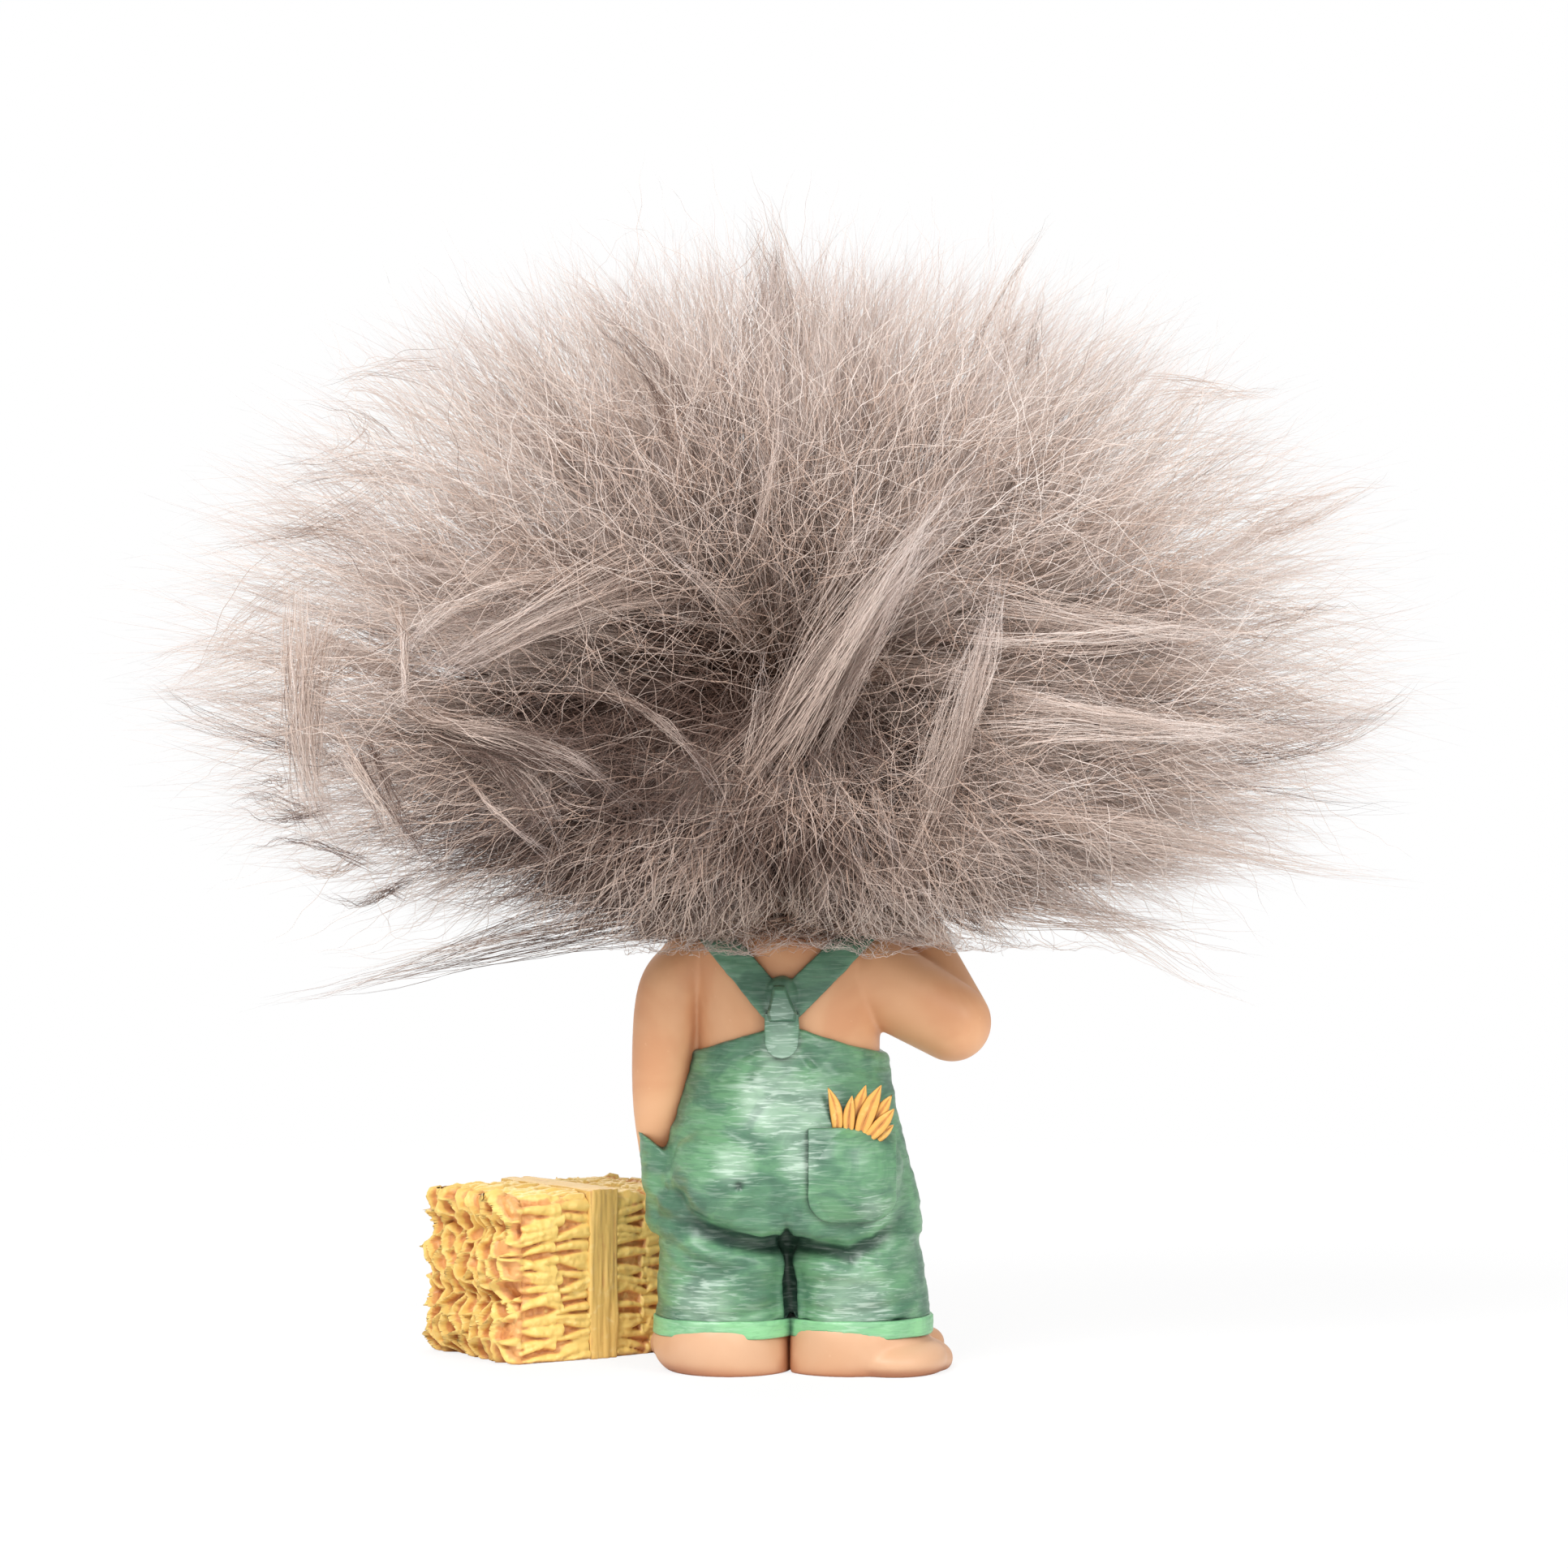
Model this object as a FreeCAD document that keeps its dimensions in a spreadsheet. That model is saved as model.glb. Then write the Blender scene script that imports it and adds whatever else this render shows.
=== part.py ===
import FreeCAD, Part
import math
import os

# A troll figure seen at its best from behind: a cast and painted body in dungarees,
# barefoot, beside a straw bale, with a wig of long fleece on its head.
# Millimetres. The origin is on the ground between the heels, +X is the figure's left,
# -Y is its front and +Z is up.

Vector = FreeCAD.Vector
Rotation = FreeCAD.Rotation
UP = Vector(0, 0, 1)
ACROSS = Vector(1, 0, 0)
BACKWARD = Vector(0, 1, 0)
RIGHT_ANGLE = 90
FORE_AND_AFT = Rotation(ACROSS, RIGHT_ANGLE)

SIZES = {
    # Feet
    "foot_width": 20.0,
    "foot_height": 7.0,
    "heel_depth": 22.0,
    "forefoot_length": 19.0,
    "toe_radius": 3.1,
    "foot_splay": 2.6,
    "crease_offset": 0.5,
    "foot_overlap": 0.9,
    # Trouser legs
    "leg_width": 20.2,
    "leg_depth": 21.4,
    "leg_height": 17.2,
    "leg_bottom": 5.7,
    "leg_overlap": 0.8,
    "hem_height": 2.2,
    "hem_roll": 0.4,
    # Seat of the dungarees
    "seat_bottom": 20.5,
    "seat_height": 32.5,
    "seat_width": 38.6,
    "seat_depth": 29.0,
    "buttock_spacing": 15.2,
    "buttock_width": 18.4,
    "buttock_depth": 19.0,
    "buttock_height": 17.2,
    "buttock_rise": 9.0,
    "waist_peak_height": 51.2,
    "waist_drop": 4.6,
    "cloth": 0.9,
    # Trunk and neck
    "trunk_bottom": 38.0,
    "trunk_height": 28.5,
    "trunk_width": 29.2,
    "trunk_depth": 24.0,
    "neck_width": 16.0,
    "neck_height": 6.0,
    # Head and face
    "head_radius": 20.3,
    "head_rise": 17.5,
    "cheek_radius": 6.3,
    "nose_width": 10.4,
    "eye_radius": 3.4,
    "eyelid": 0.7,
    "mouth_width": 17.0,
    "mouth_groove": 0.7,
    "lip_width": 9.6,
    "ear_height": 17.0,
    "ear_width": 12.0,
    "ear_depth": 5.0,
    "brow_length": 9.4,
    # Arms and hand
    "arm_radius": 4.9,
    "arm_out": 18.0,
    "shoulder_height": 62.0,
    "left_arm_length": 36.0,
    "upper_arm_radius": 6.5,
    "elbow_radius": 5.7,
    "elbow_out": 24.3,
    "elbow_drop": 10.8,
    "forearm_lift": 17.0,
    "wrist_radius": 3.8,
    "palm_radius": 4.4,
    "finger_radius": 1.7,
    "finger_length": 6.4,
    # Straps, pockets and trim
    "strap_width": 4.4,
    "knot_width": 4.8,
    "knot_height": 5.4,
    "tab_width": 4.8,
    "tab_length": 6.4,
    "tab_thickness": 1.3,
    "bib_width": 18.0,
    "bib_height": 12.4,
    "button_radius": 1.8,
    "back_pocket_width": 12.4,
    "back_pocket_height": 13.2,
    "back_pocket_top": 36.4,
    "back_pocket_offset": 9.4,
    "pocket_thickness": 1.0,
    "pocket_corner": 3.4,
    "front_pocket_width": 9.0,
    "front_pocket_height": 7.0,
    "side_pocket_width": 11.6,
    "side_pocket_depth": 13.0,
    "side_pocket_height": 15.4,
    "side_pocket_out": 15.4,
    "sprig_width": 9.4,
    "sprig_height": 9.4,
    "sprig_blade": 2.3,
    # Straw bale
    "bale_length": 29.0,
    "bale_width": 23.4,
    "bale_height": 24.4,
    "bale_corner_out": 39.6,
    "bale_corner_forward": 3.4,
    "bale_edge": 1.5,
    "band_width": 4.8,
    "band_thickness": 0.9,
    "band_place": 14.2,
    "straw_radius": 1.5,
    "straw_end_radius": 1.9,
    "straw_end_reach": 1.6,
    "straw_wall": 0.6,
    # Fleece wig
    "hide": 1.2,
    "hairline_forward": 13.0,
    "hairline_rise": 14.0,
    "nape_back": 15.0,
    "nape_drop": 16.0,
    "fleece_width": 153.0,
    "fleece_depth": 70.0,
    "fleece_height": 87.0,
    "fleece_bottom": 66.0,
    "fleece_back": 6.0,
    "parting_height": 100.0,
    "parting_radius": 27.0,
    "parting_depth": 8.0,
    "face_opening": 25.0,
    "face_opening_flare": 13.0,
    "lock_radius": 8.4,
    "lock_tip": 0.5,
    "lock_spread_width": 190.0,
    "lock_spread_height": 130.0,
    "lock_spread_depth": 112.0,
    "lock_centre_height": 104.0,
    # Long overrun of every cutting block
    "overrun": 60.0,
}

# How far the bale is turned about its near corner, and how steep the side pocket's lip is
BALE_TURN_DEGREES = 144.4
LIP_SLANT_DEGREES = 36

# Sections of each lofted form, from the bottom up. The first share is of the form's
# height, then come the sideways and backward places and the width and depth shares.
TRUNK_SHARES = (
    (0.00, 0.00, -0.040, 0.90, 1.00),
    (0.28, 0.00, -0.040, 0.93, 1.00),
    (0.56, 0.00, -0.025, 0.96, 0.93),
    (0.77, 0.00, -0.010, 1.00, 0.82),
    (0.88, 0.00, 0.000, 0.945, 0.75),
    (0.95, 0.00, 0.000, 0.79, 0.66),
    (1.00, 0.00, 0.000, 0.62, 0.60),
)
SEAT_SHARES = (
    (0.00, 0.000, 0.000, 1.015, 0.86),
    (0.14, 0.005, 0.020, 0.995, 0.98),
    (0.29, 0.005, 0.034, 0.943, 1.00),
    (0.45, 0.005, 0.028, 0.876, 0.98),
    (0.63, 0.000, 0.000, 0.803, 0.92),
    (0.82, -0.005, -0.024, 0.751, 0.88),
    (1.00, -0.003, -0.024, 0.777, 0.86),
)
LEG_SHARES = {
    "left": (
        (0.00, 0.00, 0.000, 1.03, 0.98),
        (0.45, -0.01, 0.012, 1.01, 0.97),
        (1.00, -0.02, 0.030, 0.99, 1.08),
    ),
    "right": (
        (0.00, 0.00, 0.000, 1.04, 0.98),
        (0.45, -0.02, 0.012, 1.00, 0.97),
        (1.00, -0.06, 0.030, 0.91, 1.08),
    ),
}
HEEL_SHARES = (
    (0.00, 0.0, 0.0, 0.92, 0.94),
    (0.22, 0.0, 0.0, 1.00, 0.99),
    (0.57, 0.0, 0.0, 1.03, 1.02),
    (1.00, 0.0, 0.0, 0.97, 0.97),
)
EAR_SHARES = (
    (0.00, -0.02, 0.00, 0.30, 0.45),
    (0.18, 0.00, 0.00, 0.64, 0.85),
    (0.45, 0.08, 0.00, 0.98, 1.00),
    (0.72, 0.24, 0.00, 0.90, 0.85),
    (0.90, 0.46, 0.00, 0.50, 0.55),
    (1.00, 0.62, 0.00, 0.14, 0.25),
)
POCKET_CUP_SHARES = (
    (0.00, -0.08, -0.03, 0.96, 1.00),
    (0.41, -0.02, -0.06, 1.01, 1.00),
    (0.71, 0.03, -0.08, 1.00, 0.96),
    (1.00, 0.09, -0.09, 0.98, 0.92),
)
FLEECE_SHARES = (
    (0.00, 0.000, 0.00, 0.60, 0.52),
    (0.06, 0.005, 0.00, 0.77, 0.76),
    (0.13, 0.006, 0.00, 0.87, 0.88),
    (0.23, 0.008, 0.00, 0.95, 0.97),
    (0.40, 0.005, 0.00, 1.00, 1.03),
    (0.54, 0.000, 0.02, 0.99, 0.98),
    (0.68, -0.005, 0.06, 0.92, 0.87),
    (0.83, -0.015, 0.09, 0.71, 0.69),
    (0.93, -0.020, 0.11, 0.51, 0.52),
    (1.00, -0.020, 0.12, 0.29, 0.32),
)
# Left arm: shares of its length downwards, of its place outwards, and of its radius
# backwards and across.
LEFT_ARM_SHARES = (
    (0.00, 0.780, 0.00, 0.88),
    (0.19, 0.955, 0.10, 1.02),
    (0.40, 0.995, 0.00, 1.00),
    (0.60, 1.010, -0.16, 0.94),
    (0.80, 1.033, -0.33, 0.70),
    (1.00, 1.045, -0.49, 0.50),
)
RIGHT_FOOT_SHARE = 1.06
RIGHT_LEG_SHARE = 1.03
# Toes from the big one outwards: place across the foot, place forwards, and radius.
TOE_SHARES = (
    (0.23, 1.00, 1.12),
    (0.50, 0.97, 0.92),
    (0.72, 0.88, 0.86),
    (0.92, 0.74, 0.80),
)
# Straw blades in the back pocket: foot and tip across it, tip height, and thickness.
BLADE_SHARES = (
    (-0.34, -0.52, 0.92, 0.85),
    (-0.14, 0.02, 0.98, 1.10),
    (0.06, 0.36, 1.00, 1.00),
    (0.24, 0.58, 0.78, 0.90),
    (0.36, 0.66, 0.52, 0.80),
)
# Cut straws on the end of the bale: places across and up it, and radius.
STRAW_END_SHARES = (
    (0.14, 0.14, 0.9), (0.38, 0.12, 1.1), (0.62, 0.15, 0.9), (0.86, 0.13, 1.0),
    (0.25, 0.36, 1.1), (0.50, 0.34, 1.0), (0.75, 0.37, 1.1), (0.12, 0.56, 1.0),
    (0.37, 0.58, 0.9), (0.63, 0.57, 1.1), (0.88, 0.58, 0.9), (0.25, 0.79, 1.0),
    (0.50, 0.81, 1.1), (0.76, 0.80, 0.9),
)
# Straws along the bale's long sides: height, and thickness.
SIDE_STRAW_SHARES = (
    (0.12, 1.0), (0.30, 1.2), (0.48, 0.9), (0.66, 1.2), (0.84, 1.0),
)
# Straws along the bale's top: place across, and thickness.
TOP_STRAW_SHARES = (
    (0.15, 1.1), (0.38, 0.9), (0.61, 1.2), (0.84, 1.0),
)
# Locks of the fleece: tilt backwards from the upright plane across the figure, first
# direction and step of the ring in degrees, and the last direction.
LOCK_RINGS = {
    "hair_locks_middle": (0, -30, 15, 210),
    "hair_locks_behind": (24, -22, 16, 206),
    "hair_locks_farther_behind": (44, -18, 24, 200),
    "hair_locks_far_behind": (64, -40, 36, 212),
    "hair_locks_front": (-12, 2, 16, 180),
}
LOCK_REACH_SHARES = (1.00, 0.93, 1.04, 0.90, 0.98, 1.05, 0.92, 1.01, 0.95)
LOCK_ROOT_SHARE = 0.54

doc = FreeCAD.newDocument("troll_figure")


class Length:
    """A length worked out from the sheet: the text of its expression, and its value."""

    def __init__(self, text, value):
        self.text = text
        self.value = value

    def __add__(self, other):
        return Length(f"({self.text} + {other.text})", self.value + other.value)

    def __sub__(self, other):
        return Length(f"({self.text} - {other.text})", self.value - other.value)

    def __mul__(self, share):
        return Length(f"({self.text} * {share})", self.value * share)

    def __neg__(self):
        return self * -1


def fill_sheet():
    """Write the driving sizes into the sheet and give each back as a Length."""
    sheet = doc.addObject("Spreadsheet::Sheet", "Sizes")
    lengths = {}
    for row, (alias, value) in enumerate(SIZES.items(), start=1):
        sheet.set(f"A{row}", alias)
        sheet.set(f"B{row}", str(value))
        sheet.setAlias(f"B{row}", alias)
        lengths[alias] = Length(f"Sizes.{alias}", value)
    doc.recompute()
    return lengths


size = fill_sheet()
NIL = Length("0", 0)
nodes = []


def bind(obj, **lengths):
    """Tie properties of an object to lengths."""
    for name, length in lengths.items():
        obj.setExpression(name, length.text)


def place(obj, where, rotation=Rotation()):
    """Put an object at a point given as three lengths, turned as asked."""
    point = Vector(where[0].value, where[1].value, where[2].value)
    obj.Placement = FreeCAD.Placement(point, rotation)
    for axis, length in zip("xyz", where):
        obj.setExpression(f"Placement.Base.{axis}", length.text)


def span(start, end):
    """The distance between two points given as lengths."""
    terms = " + ".join(f"({b.text} - {a.text})^2" for a, b in zip(start, end))
    value = math.dist([a.value for a in start], [b.value for b in end])
    return Length(f"sqrt({terms})", value)


def heading(start, end):
    """The rotation that turns upright into the way from start to end."""
    way = Vector(*[b.value - a.value for a, b in zip(start, end)])
    return Rotation(UP, way)


def between(start, end, share):
    """The point at a share of the way from start to end."""
    return [a + (b - a) * share for a, b in zip(start, end)]


def node(label, obj):
    """Name an object as a piece of the figure."""
    obj.Label = label
    nodes.append(obj)
    return obj


def sphere(name, centre, radius):
    obj = doc.addObject("Part::Sphere", name)
    bind(obj, Radius=radius)
    place(obj, centre)
    return obj


def ball(name, centre, radii, rotation=Rotation()):
    """An ellipsoid with its three half widths along its own X, Y and Z."""
    obj = doc.addObject("Part::Ellipsoid", name)
    bind(obj, Radius2=radii[0], Radius3=radii[1], Radius1=radii[2])
    place(obj, centre, rotation)
    return obj


def block(name, centre, spans, rotation=Rotation()):
    """A box about its centre, turned as asked."""
    obj = doc.addObject("Part::Box", name)
    bind(obj, Length=spans[0], Width=spans[1], Height=spans[2])
    sides = [rotation.multVec(axis) for axis in (ACROSS, BACKWARD, UP)]
    corner = []
    for axis, middle in enumerate(centre):
        for side, reach in zip(sides, spans):
            middle = middle - reach * (side[axis] / 2)
        corner.append(middle)
    place(obj, corner, rotation)
    return obj


def rod(name, start, end, radius):
    """A round bar from one point to another."""
    obj = doc.addObject("Part::Cylinder", name)
    bind(obj, Radius=radius, Height=span(start, end))
    place(obj, start, heading(start, end))
    return obj


def taper(name, start, start_radius, end, end_radius):
    """A cone from one point to another."""
    obj = doc.addObject("Part::Cone", name)
    bind(obj, Radius1=start_radius, Radius2=end_radius, Height=span(start, end))
    place(obj, start, heading(start, end))
    return obj


def limb(name, start, start_radius, end, end_radius):
    """A tapered bar with a round end at each point."""
    return fuse(
        name,
        sphere(f"{name}_start", start, start_radius),
        taper(f"{name}_run", start, start_radius, end, end_radius),
        sphere(f"{name}_end", end, end_radius),
    )


def ring(name, centre, wide, deep):
    """A level ellipse of a given width and depth."""
    obj = doc.addObject("Part::Ellipse", name)
    turned = deep.value > wide.value
    if turned:
        wide, deep = deep, wide
    bind(obj, MajorRadius=wide * 0.5, MinorRadius=deep * 0.5)
    place(obj, centre, Rotation(UP, RIGHT_ANGLE if turned else 0))
    return obj


def loft(name, rings):
    """A smooth solid through level ellipses."""
    obj = doc.addObject("Part::Loft", name)
    obj.Sections = rings
    obj.Solid = True
    obj.Ruled = False
    return obj


def swell(name, shares, foot, height, width, depth, grow=NIL, side=1):
    """A loft whose sections are shares of a height, a width and a depth over its foot."""
    rings = []
    for index, (up, out, back, wide, deep) in enumerate(shares):
        centre = (
            foot[0] + width * (out * side),
            foot[1] + depth * back,
            foot[2] + height * up,
        )
        rings.append(
            ring(f"{name}_ring{index}", centre, width * wide + grow * 2, depth * deep + grow * 2)
        )
    return loft(name, rings)


def fuse(name, *shapes):
    obj = doc.addObject("Part::MultiFuse", name)
    obj.Shapes = list(shapes)
    return obj


def common(name, base, tool):
    obj = doc.addObject("Part::Common", name)
    obj.Base = base
    obj.Tool = tool
    return obj


def cut(name, base, *tools):
    """Cut each tool from the base in turn."""
    for index, tool in enumerate(tools):
        obj = doc.addObject("Part::Cut", f"{name}_{index}")
        obj.Base = base
        obj.Tool = tool
        base = obj
    return base


def group(name, *shapes):
    """Separate solids kept together as one piece's group."""
    obj = doc.addObject("Part::Compound", name)
    obj.Links = list(shapes)
    return obj


# Feet

SIDES = {"left": 1, "right": -1}
creases = {
    side_name: block(
        f"{side_name}_crease",
        (-(size["crease_offset"]) - size["overrun"] * (0.5 * side), NIL, NIL),
        [size["overrun"]] * 3,
    )
    for side_name, side in SIDES.items()
}


def make_foot(side_name, width_share):
    """A bare foot: a block-like heel, a low forefoot and four round toes."""
    side = SIDES[side_name]
    width = size["foot_width"] * width_share
    height = size["foot_height"]
    inner = -size["foot_overlap"]
    heel_rings = []
    for index, (up, _, _, wide, deep) in enumerate(HEEL_SHARES):
        across = inner + width * (wide / 2)
        centre = (across * side, NIL, height * up)
        heel_rings.append(
            ring(f"{side_name}_heel_ring{index}", centre, width * wide, size["heel_depth"] * deep)
        )
    heel = loft(f"{side_name}_heel", heel_rings)
    splay = size["foot_splay"] * (0.25 if side > 0 else 1)
    instep_across = width * 0.5 + splay * 0.6 + inner
    instep = ball(
        f"{side_name}_instep",
        (instep_across * side, -(size["forefoot_length"] * 0.46), height * 0.34),
        (width * 0.5, height * 0.62, size["forefoot_length"] * 0.58),
        FORE_AND_AFT,
    )
    toes = []
    for index, (across, ahead, fat) in enumerate(TOE_SHARES):
        radius = size["toe_radius"] * fat
        where = (
            (width * across + splay + inner) * side,
            -(size["forefoot_length"] * ahead),
            radius * 0.8,
        )
        radii = (radius, radius * 0.95, radius * 1.3)
        toes.append(ball(f"{side_name}_toe{index}", where, radii, FORE_AND_AFT))
    whole = fuse(f"{side_name}_foot_whole", heel, instep, *toes)
    ground = block(
        f"{side_name}_ground",
        (NIL, NIL, -(size["overrun"] * 0.5)),
        [size["overrun"] * 2, size["overrun"] * 2, size["overrun"]],
    )
    foot = node(
        f"{side_name}_foot",
        cut(f"{side_name}_foot_cut", whole, ground, creases[side_name]),
    )
    return foot, heel, instep


left_foot, *left_forms = make_foot("left", 1)
right_forms = make_foot("right", RIGHT_FOOT_SHARE)[1:]
foot_forms = {"left": left_forms, "right": right_forms}

# Trunk, neck and the cloth's outer surface over them


def make_trunk(name, grow):
    foot = (NIL, NIL, size["trunk_bottom"])
    return swell(
        name, TRUNK_SHARES, foot, size["trunk_height"], size["trunk_width"], size["trunk_depth"], grow
    )


trunk_top = size["trunk_bottom"] + size["trunk_height"]
neck = rod(
    "neck",
    (NIL, NIL, trunk_top - size["neck_height"] * 0.5),
    (NIL, NIL, trunk_top + size["neck_height"]),
    size["neck_width"] * 0.5,
)
trunk = make_trunk("trunk", NIL)
torso = node("torso", fuse("torso_whole", trunk, neck))
trunk_cloth = make_trunk("trunk_cloth", size["cloth"])

# Left arm, hanging down into the side pocket

arm_rings = []
for index, (down, out, back, thick) in enumerate(LEFT_ARM_SHARES):
    radius = size["arm_radius"] * thick
    centre = (
        size["arm_out"] * out,
        size["arm_radius"] * back,
        size["shoulder_height"] - size["left_arm_length"] * down,
    )
    arm_rings.append(ring(f"left_arm_ring{index}", centre, radius * 2, radius * 1.94))
left_shoulder = sphere(
    "left_shoulder",
    (size["arm_out"] * 0.79, NIL, size["shoulder_height"] - size["arm_radius"] * 0.38),
    size["arm_radius"] * 0.93,
)
left_limb = fuse("left_arm_whole", loft("left_arm_run", arm_rings), left_shoulder)
node("left_arm", cut("left_arm_cut", left_limb, torso))

# Right arm, bent up so that the hand rests on the cheek

right_shoulder = (
    -(size["trunk_width"] * 0.40),
    size["arm_radius"] * 0.1,
    size["shoulder_height"] - size["upper_arm_radius"] * 0.55,
)
elbow = (-(size["elbow_out"]), size["arm_radius"] * 0.2, size["shoulder_height"] - size["elbow_drop"])
elbow_front = (
    -(size["elbow_out"]) - size["elbow_radius"] * 0.05,
    -(size["elbow_radius"] * 0.45),
    size["shoulder_height"] - size["elbow_drop"] + size["elbow_radius"] * 0.1,
)
wrist = (
    -(size["elbow_out"] * 0.70),
    -(size["head_radius"] * 0.49),
    size["shoulder_height"] - size["elbow_drop"] + size["forearm_lift"],
)
shoulder_balls = {
    "left": left_shoulder,
    "right": sphere("right_shoulder", right_shoulder, size["upper_arm_radius"]),
}
upper_arm = limb(
    "right_upper_arm_whole", right_shoulder, size["upper_arm_radius"], elbow, size["elbow_radius"]
)
node("right_upper_arm", cut("right_upper_arm_cut", upper_arm, torso))
forearm = limb(
    "right_forearm_whole", elbow_front, size["elbow_radius"] * 0.92, wrist, size["wrist_radius"]
)

# Head with its ears, nose and face

head_centre = (NIL, NIL, trunk_top + size["head_rise"])


def on_face(across, ahead, up):
    """A point by shares of the head's radius, from its centre, with ahead to the front."""
    return (
        head_centre[0] + size["head_radius"] * across,
        head_centre[1] - size["head_radius"] * ahead,
        head_centre[2] + size["head_radius"] * up,
    )


skull = sphere("skull", head_centre, size["head_radius"])
cheeks = {
    name: sphere(f"cheek_{name}", on_face(0.54 * side, 0.60, -0.36), size["cheek_radius"])
    for name, side in SIDES.items()
}
chin = sphere("chin", on_face(0, 0.60, -0.72), size["cheek_radius"] * 0.8)
EYE_PLACE_SHARES = (0.35, 0.82, 0.13)
eyes = {}
for name, side in SIDES.items():
    across, ahead, up = EYE_PLACE_SHARES
    eye = sphere(f"{name}_eye_ball", on_face(across * side, ahead, up), size["eye_radius"])
    eyes[name] = node(f"{name}_eye", eye)
mouth_centre = on_face(0, 0.87, -0.17)
mouth_ring = doc.addObject("Part::Torus", "mouth_ring")
bind(mouth_ring, Radius1=size["mouth_width"] * 0.5, Radius2=size["mouth_groove"])
place(mouth_ring, mouth_centre, Rotation(ACROSS, RIGHT_ANGLE))
mouth_groove = common(
    "mouth_groove_low",
    mouth_ring,
    block(
        "mouth_half",
        (
            mouth_centre[0],
            mouth_centre[1],
            mouth_centre[2] - size["mouth_width"] * 0.5 - size["mouth_width"] * 0.22,
        ),
        [size["mouth_width"] * 1.5, size["mouth_width"], size["mouth_width"]],
    ),
)
node(
    "head",
    cut(
        "head_cut",
        fuse("head_whole", skull, *cheeks.values(), chin),
        trunk,
        neck,
        eyes["left"],
        eyes["right"],
        mouth_groove,
    ),
)

nose_centre = on_face(0, 1.02, -0.22)
half_nose = size["nose_width"] * 0.5
nostrils = [
    sphere(
        f"nostril_{name}",
        (
            nose_centre[0] + half_nose * (0.72 * side),
            nose_centre[1] + half_nose * 0.34,
            nose_centre[2] - half_nose * 0.26,
        ),
        half_nose * 0.5,
    )
    for name, side in SIDES.items()
]
nose_ball = ball("nose_ball", nose_centre, (half_nose, half_nose * 1.06, half_nose * 0.86))
nose_whole = fuse("nose_whole", nose_ball, *nostrils)
node("nose", cut("nose_cut", nose_whole, skull, *cheeks.values()))

lid_balls = []
for name, side in SIDES.items():
    across, ahead, up = EYE_PLACE_SHARES
    eye_centre = on_face(across * side, ahead, up)
    lid_ball = sphere(f"{name}_lid_ball", eye_centre, size["eye_radius"] + size["eyelid"])
    lid_balls.append(lid_ball)
    lower = block(
        f"{name}_lid_lower",
        (
            eye_centre[0],
            eye_centre[1],
            eye_centre[2] + size["eye_radius"] * 0.25 - size["overrun"] * 0.5,
        ),
        [size["overrun"]] * 3,
    )
    node(f"{name}_eyelid", cut(f"{name}_lid_cut", lid_ball, lower, eyes[name], skull))

brow_parts = [
    ball(
        f"brow_{name}",
        on_face(0.36 * side, 0.85, 0.40),
        (size["brow_length"] * 0.5, size["brow_length"] * 0.16, size["brow_length"] * 0.16),
        Rotation(BACKWARD, 12 * side),
    )
    for name, side in SIDES.items()
]
brow_cuts = [
    cut(f"brow_cut_{index}", brow, skull, lid_balls[index]) for index, brow in enumerate(brow_parts)
]
node("brows", group("brow_pair", *brow_cuts))

lip_ball = ball(
    "lip_ball",
    on_face(0, 0.83, -0.64),
    (size["lip_width"] * 0.5, size["lip_width"] * 0.19, size["lip_width"] * 0.14),
)
node("lower_lip", cut("lip_cut", lip_ball, skull, chin))

ear_shells = {}
for name, side in SIDES.items():
    ear_root = on_face(1.04 * side, 0.06, -0.46)
    ear_shells[name] = swell(
        f"{name}_ear_shell",
        EAR_SHARES,
        ear_root,
        size["ear_height"],
        size["ear_width"],
        size["ear_depth"],
        side=side,
    )
    hollow_radius = size["ear_width"] * 0.30
    hollow = sphere(
        f"{name}_ear_hollow",
        (
            ear_root[0] + size["ear_width"] * (0.16 * side),
            ear_root[1] - size["ear_depth"] * 0.5 - hollow_radius * 0.35,
            ear_root[2] + size["ear_height"] * 0.52,
        ),
        hollow_radius,
    )
    node(f"{name}_ear", cut(f"{name}_ear_cut", ear_shells[name], hollow, skull))

# Right forearm and hand against the head

node("right_forearm", cut("forearm_cut", forearm, upper_arm, skull, cheeks["right"]))
palm_centre = (
    wrist[0] + size["palm_radius"] * 0.55,
    wrist[1] - size["palm_radius"] * 0.25,
    wrist[2] + size["palm_radius"] * 0.85,
)
palm = ball(
    "palm", palm_centre, (size["palm_radius"] * 0.82, size["palm_radius"] * 0.8, size["palm_radius"])
)
FINGER_SHARES = (
    (-0.70, 0.10, -0.25, 1.00),
    (-0.35, -0.35, 0.00, 1.00),
    (0.00, -0.70, -0.05, 0.92),
)
fingers = []
for index, (out, back, tip_in, long) in enumerate(FINGER_SHARES):
    knuckle = (
        palm_centre[0] + size["palm_radius"] * out,
        palm_centre[1] + size["palm_radius"] * back,
        palm_centre[2] + size["palm_radius"] * 0.45,
    )
    tip = (
        knuckle[0] + size["finger_length"] * (0.30 + tip_in),
        knuckle[1],
        knuckle[2] + size["finger_length"] * (0.82 * long),
    )
    fingers.append(
        limb(f"finger{index}", knuckle, size["finger_radius"], tip, size["finger_radius"] * 0.85)
    )
hand = fuse("hand_whole", palm, *fingers)
node("right_hand", cut("right_hand_cut", hand, forearm, skull, cheeks["right"]))

# Dungarees: the seat with its sloping waist, the legs and their hems


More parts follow.
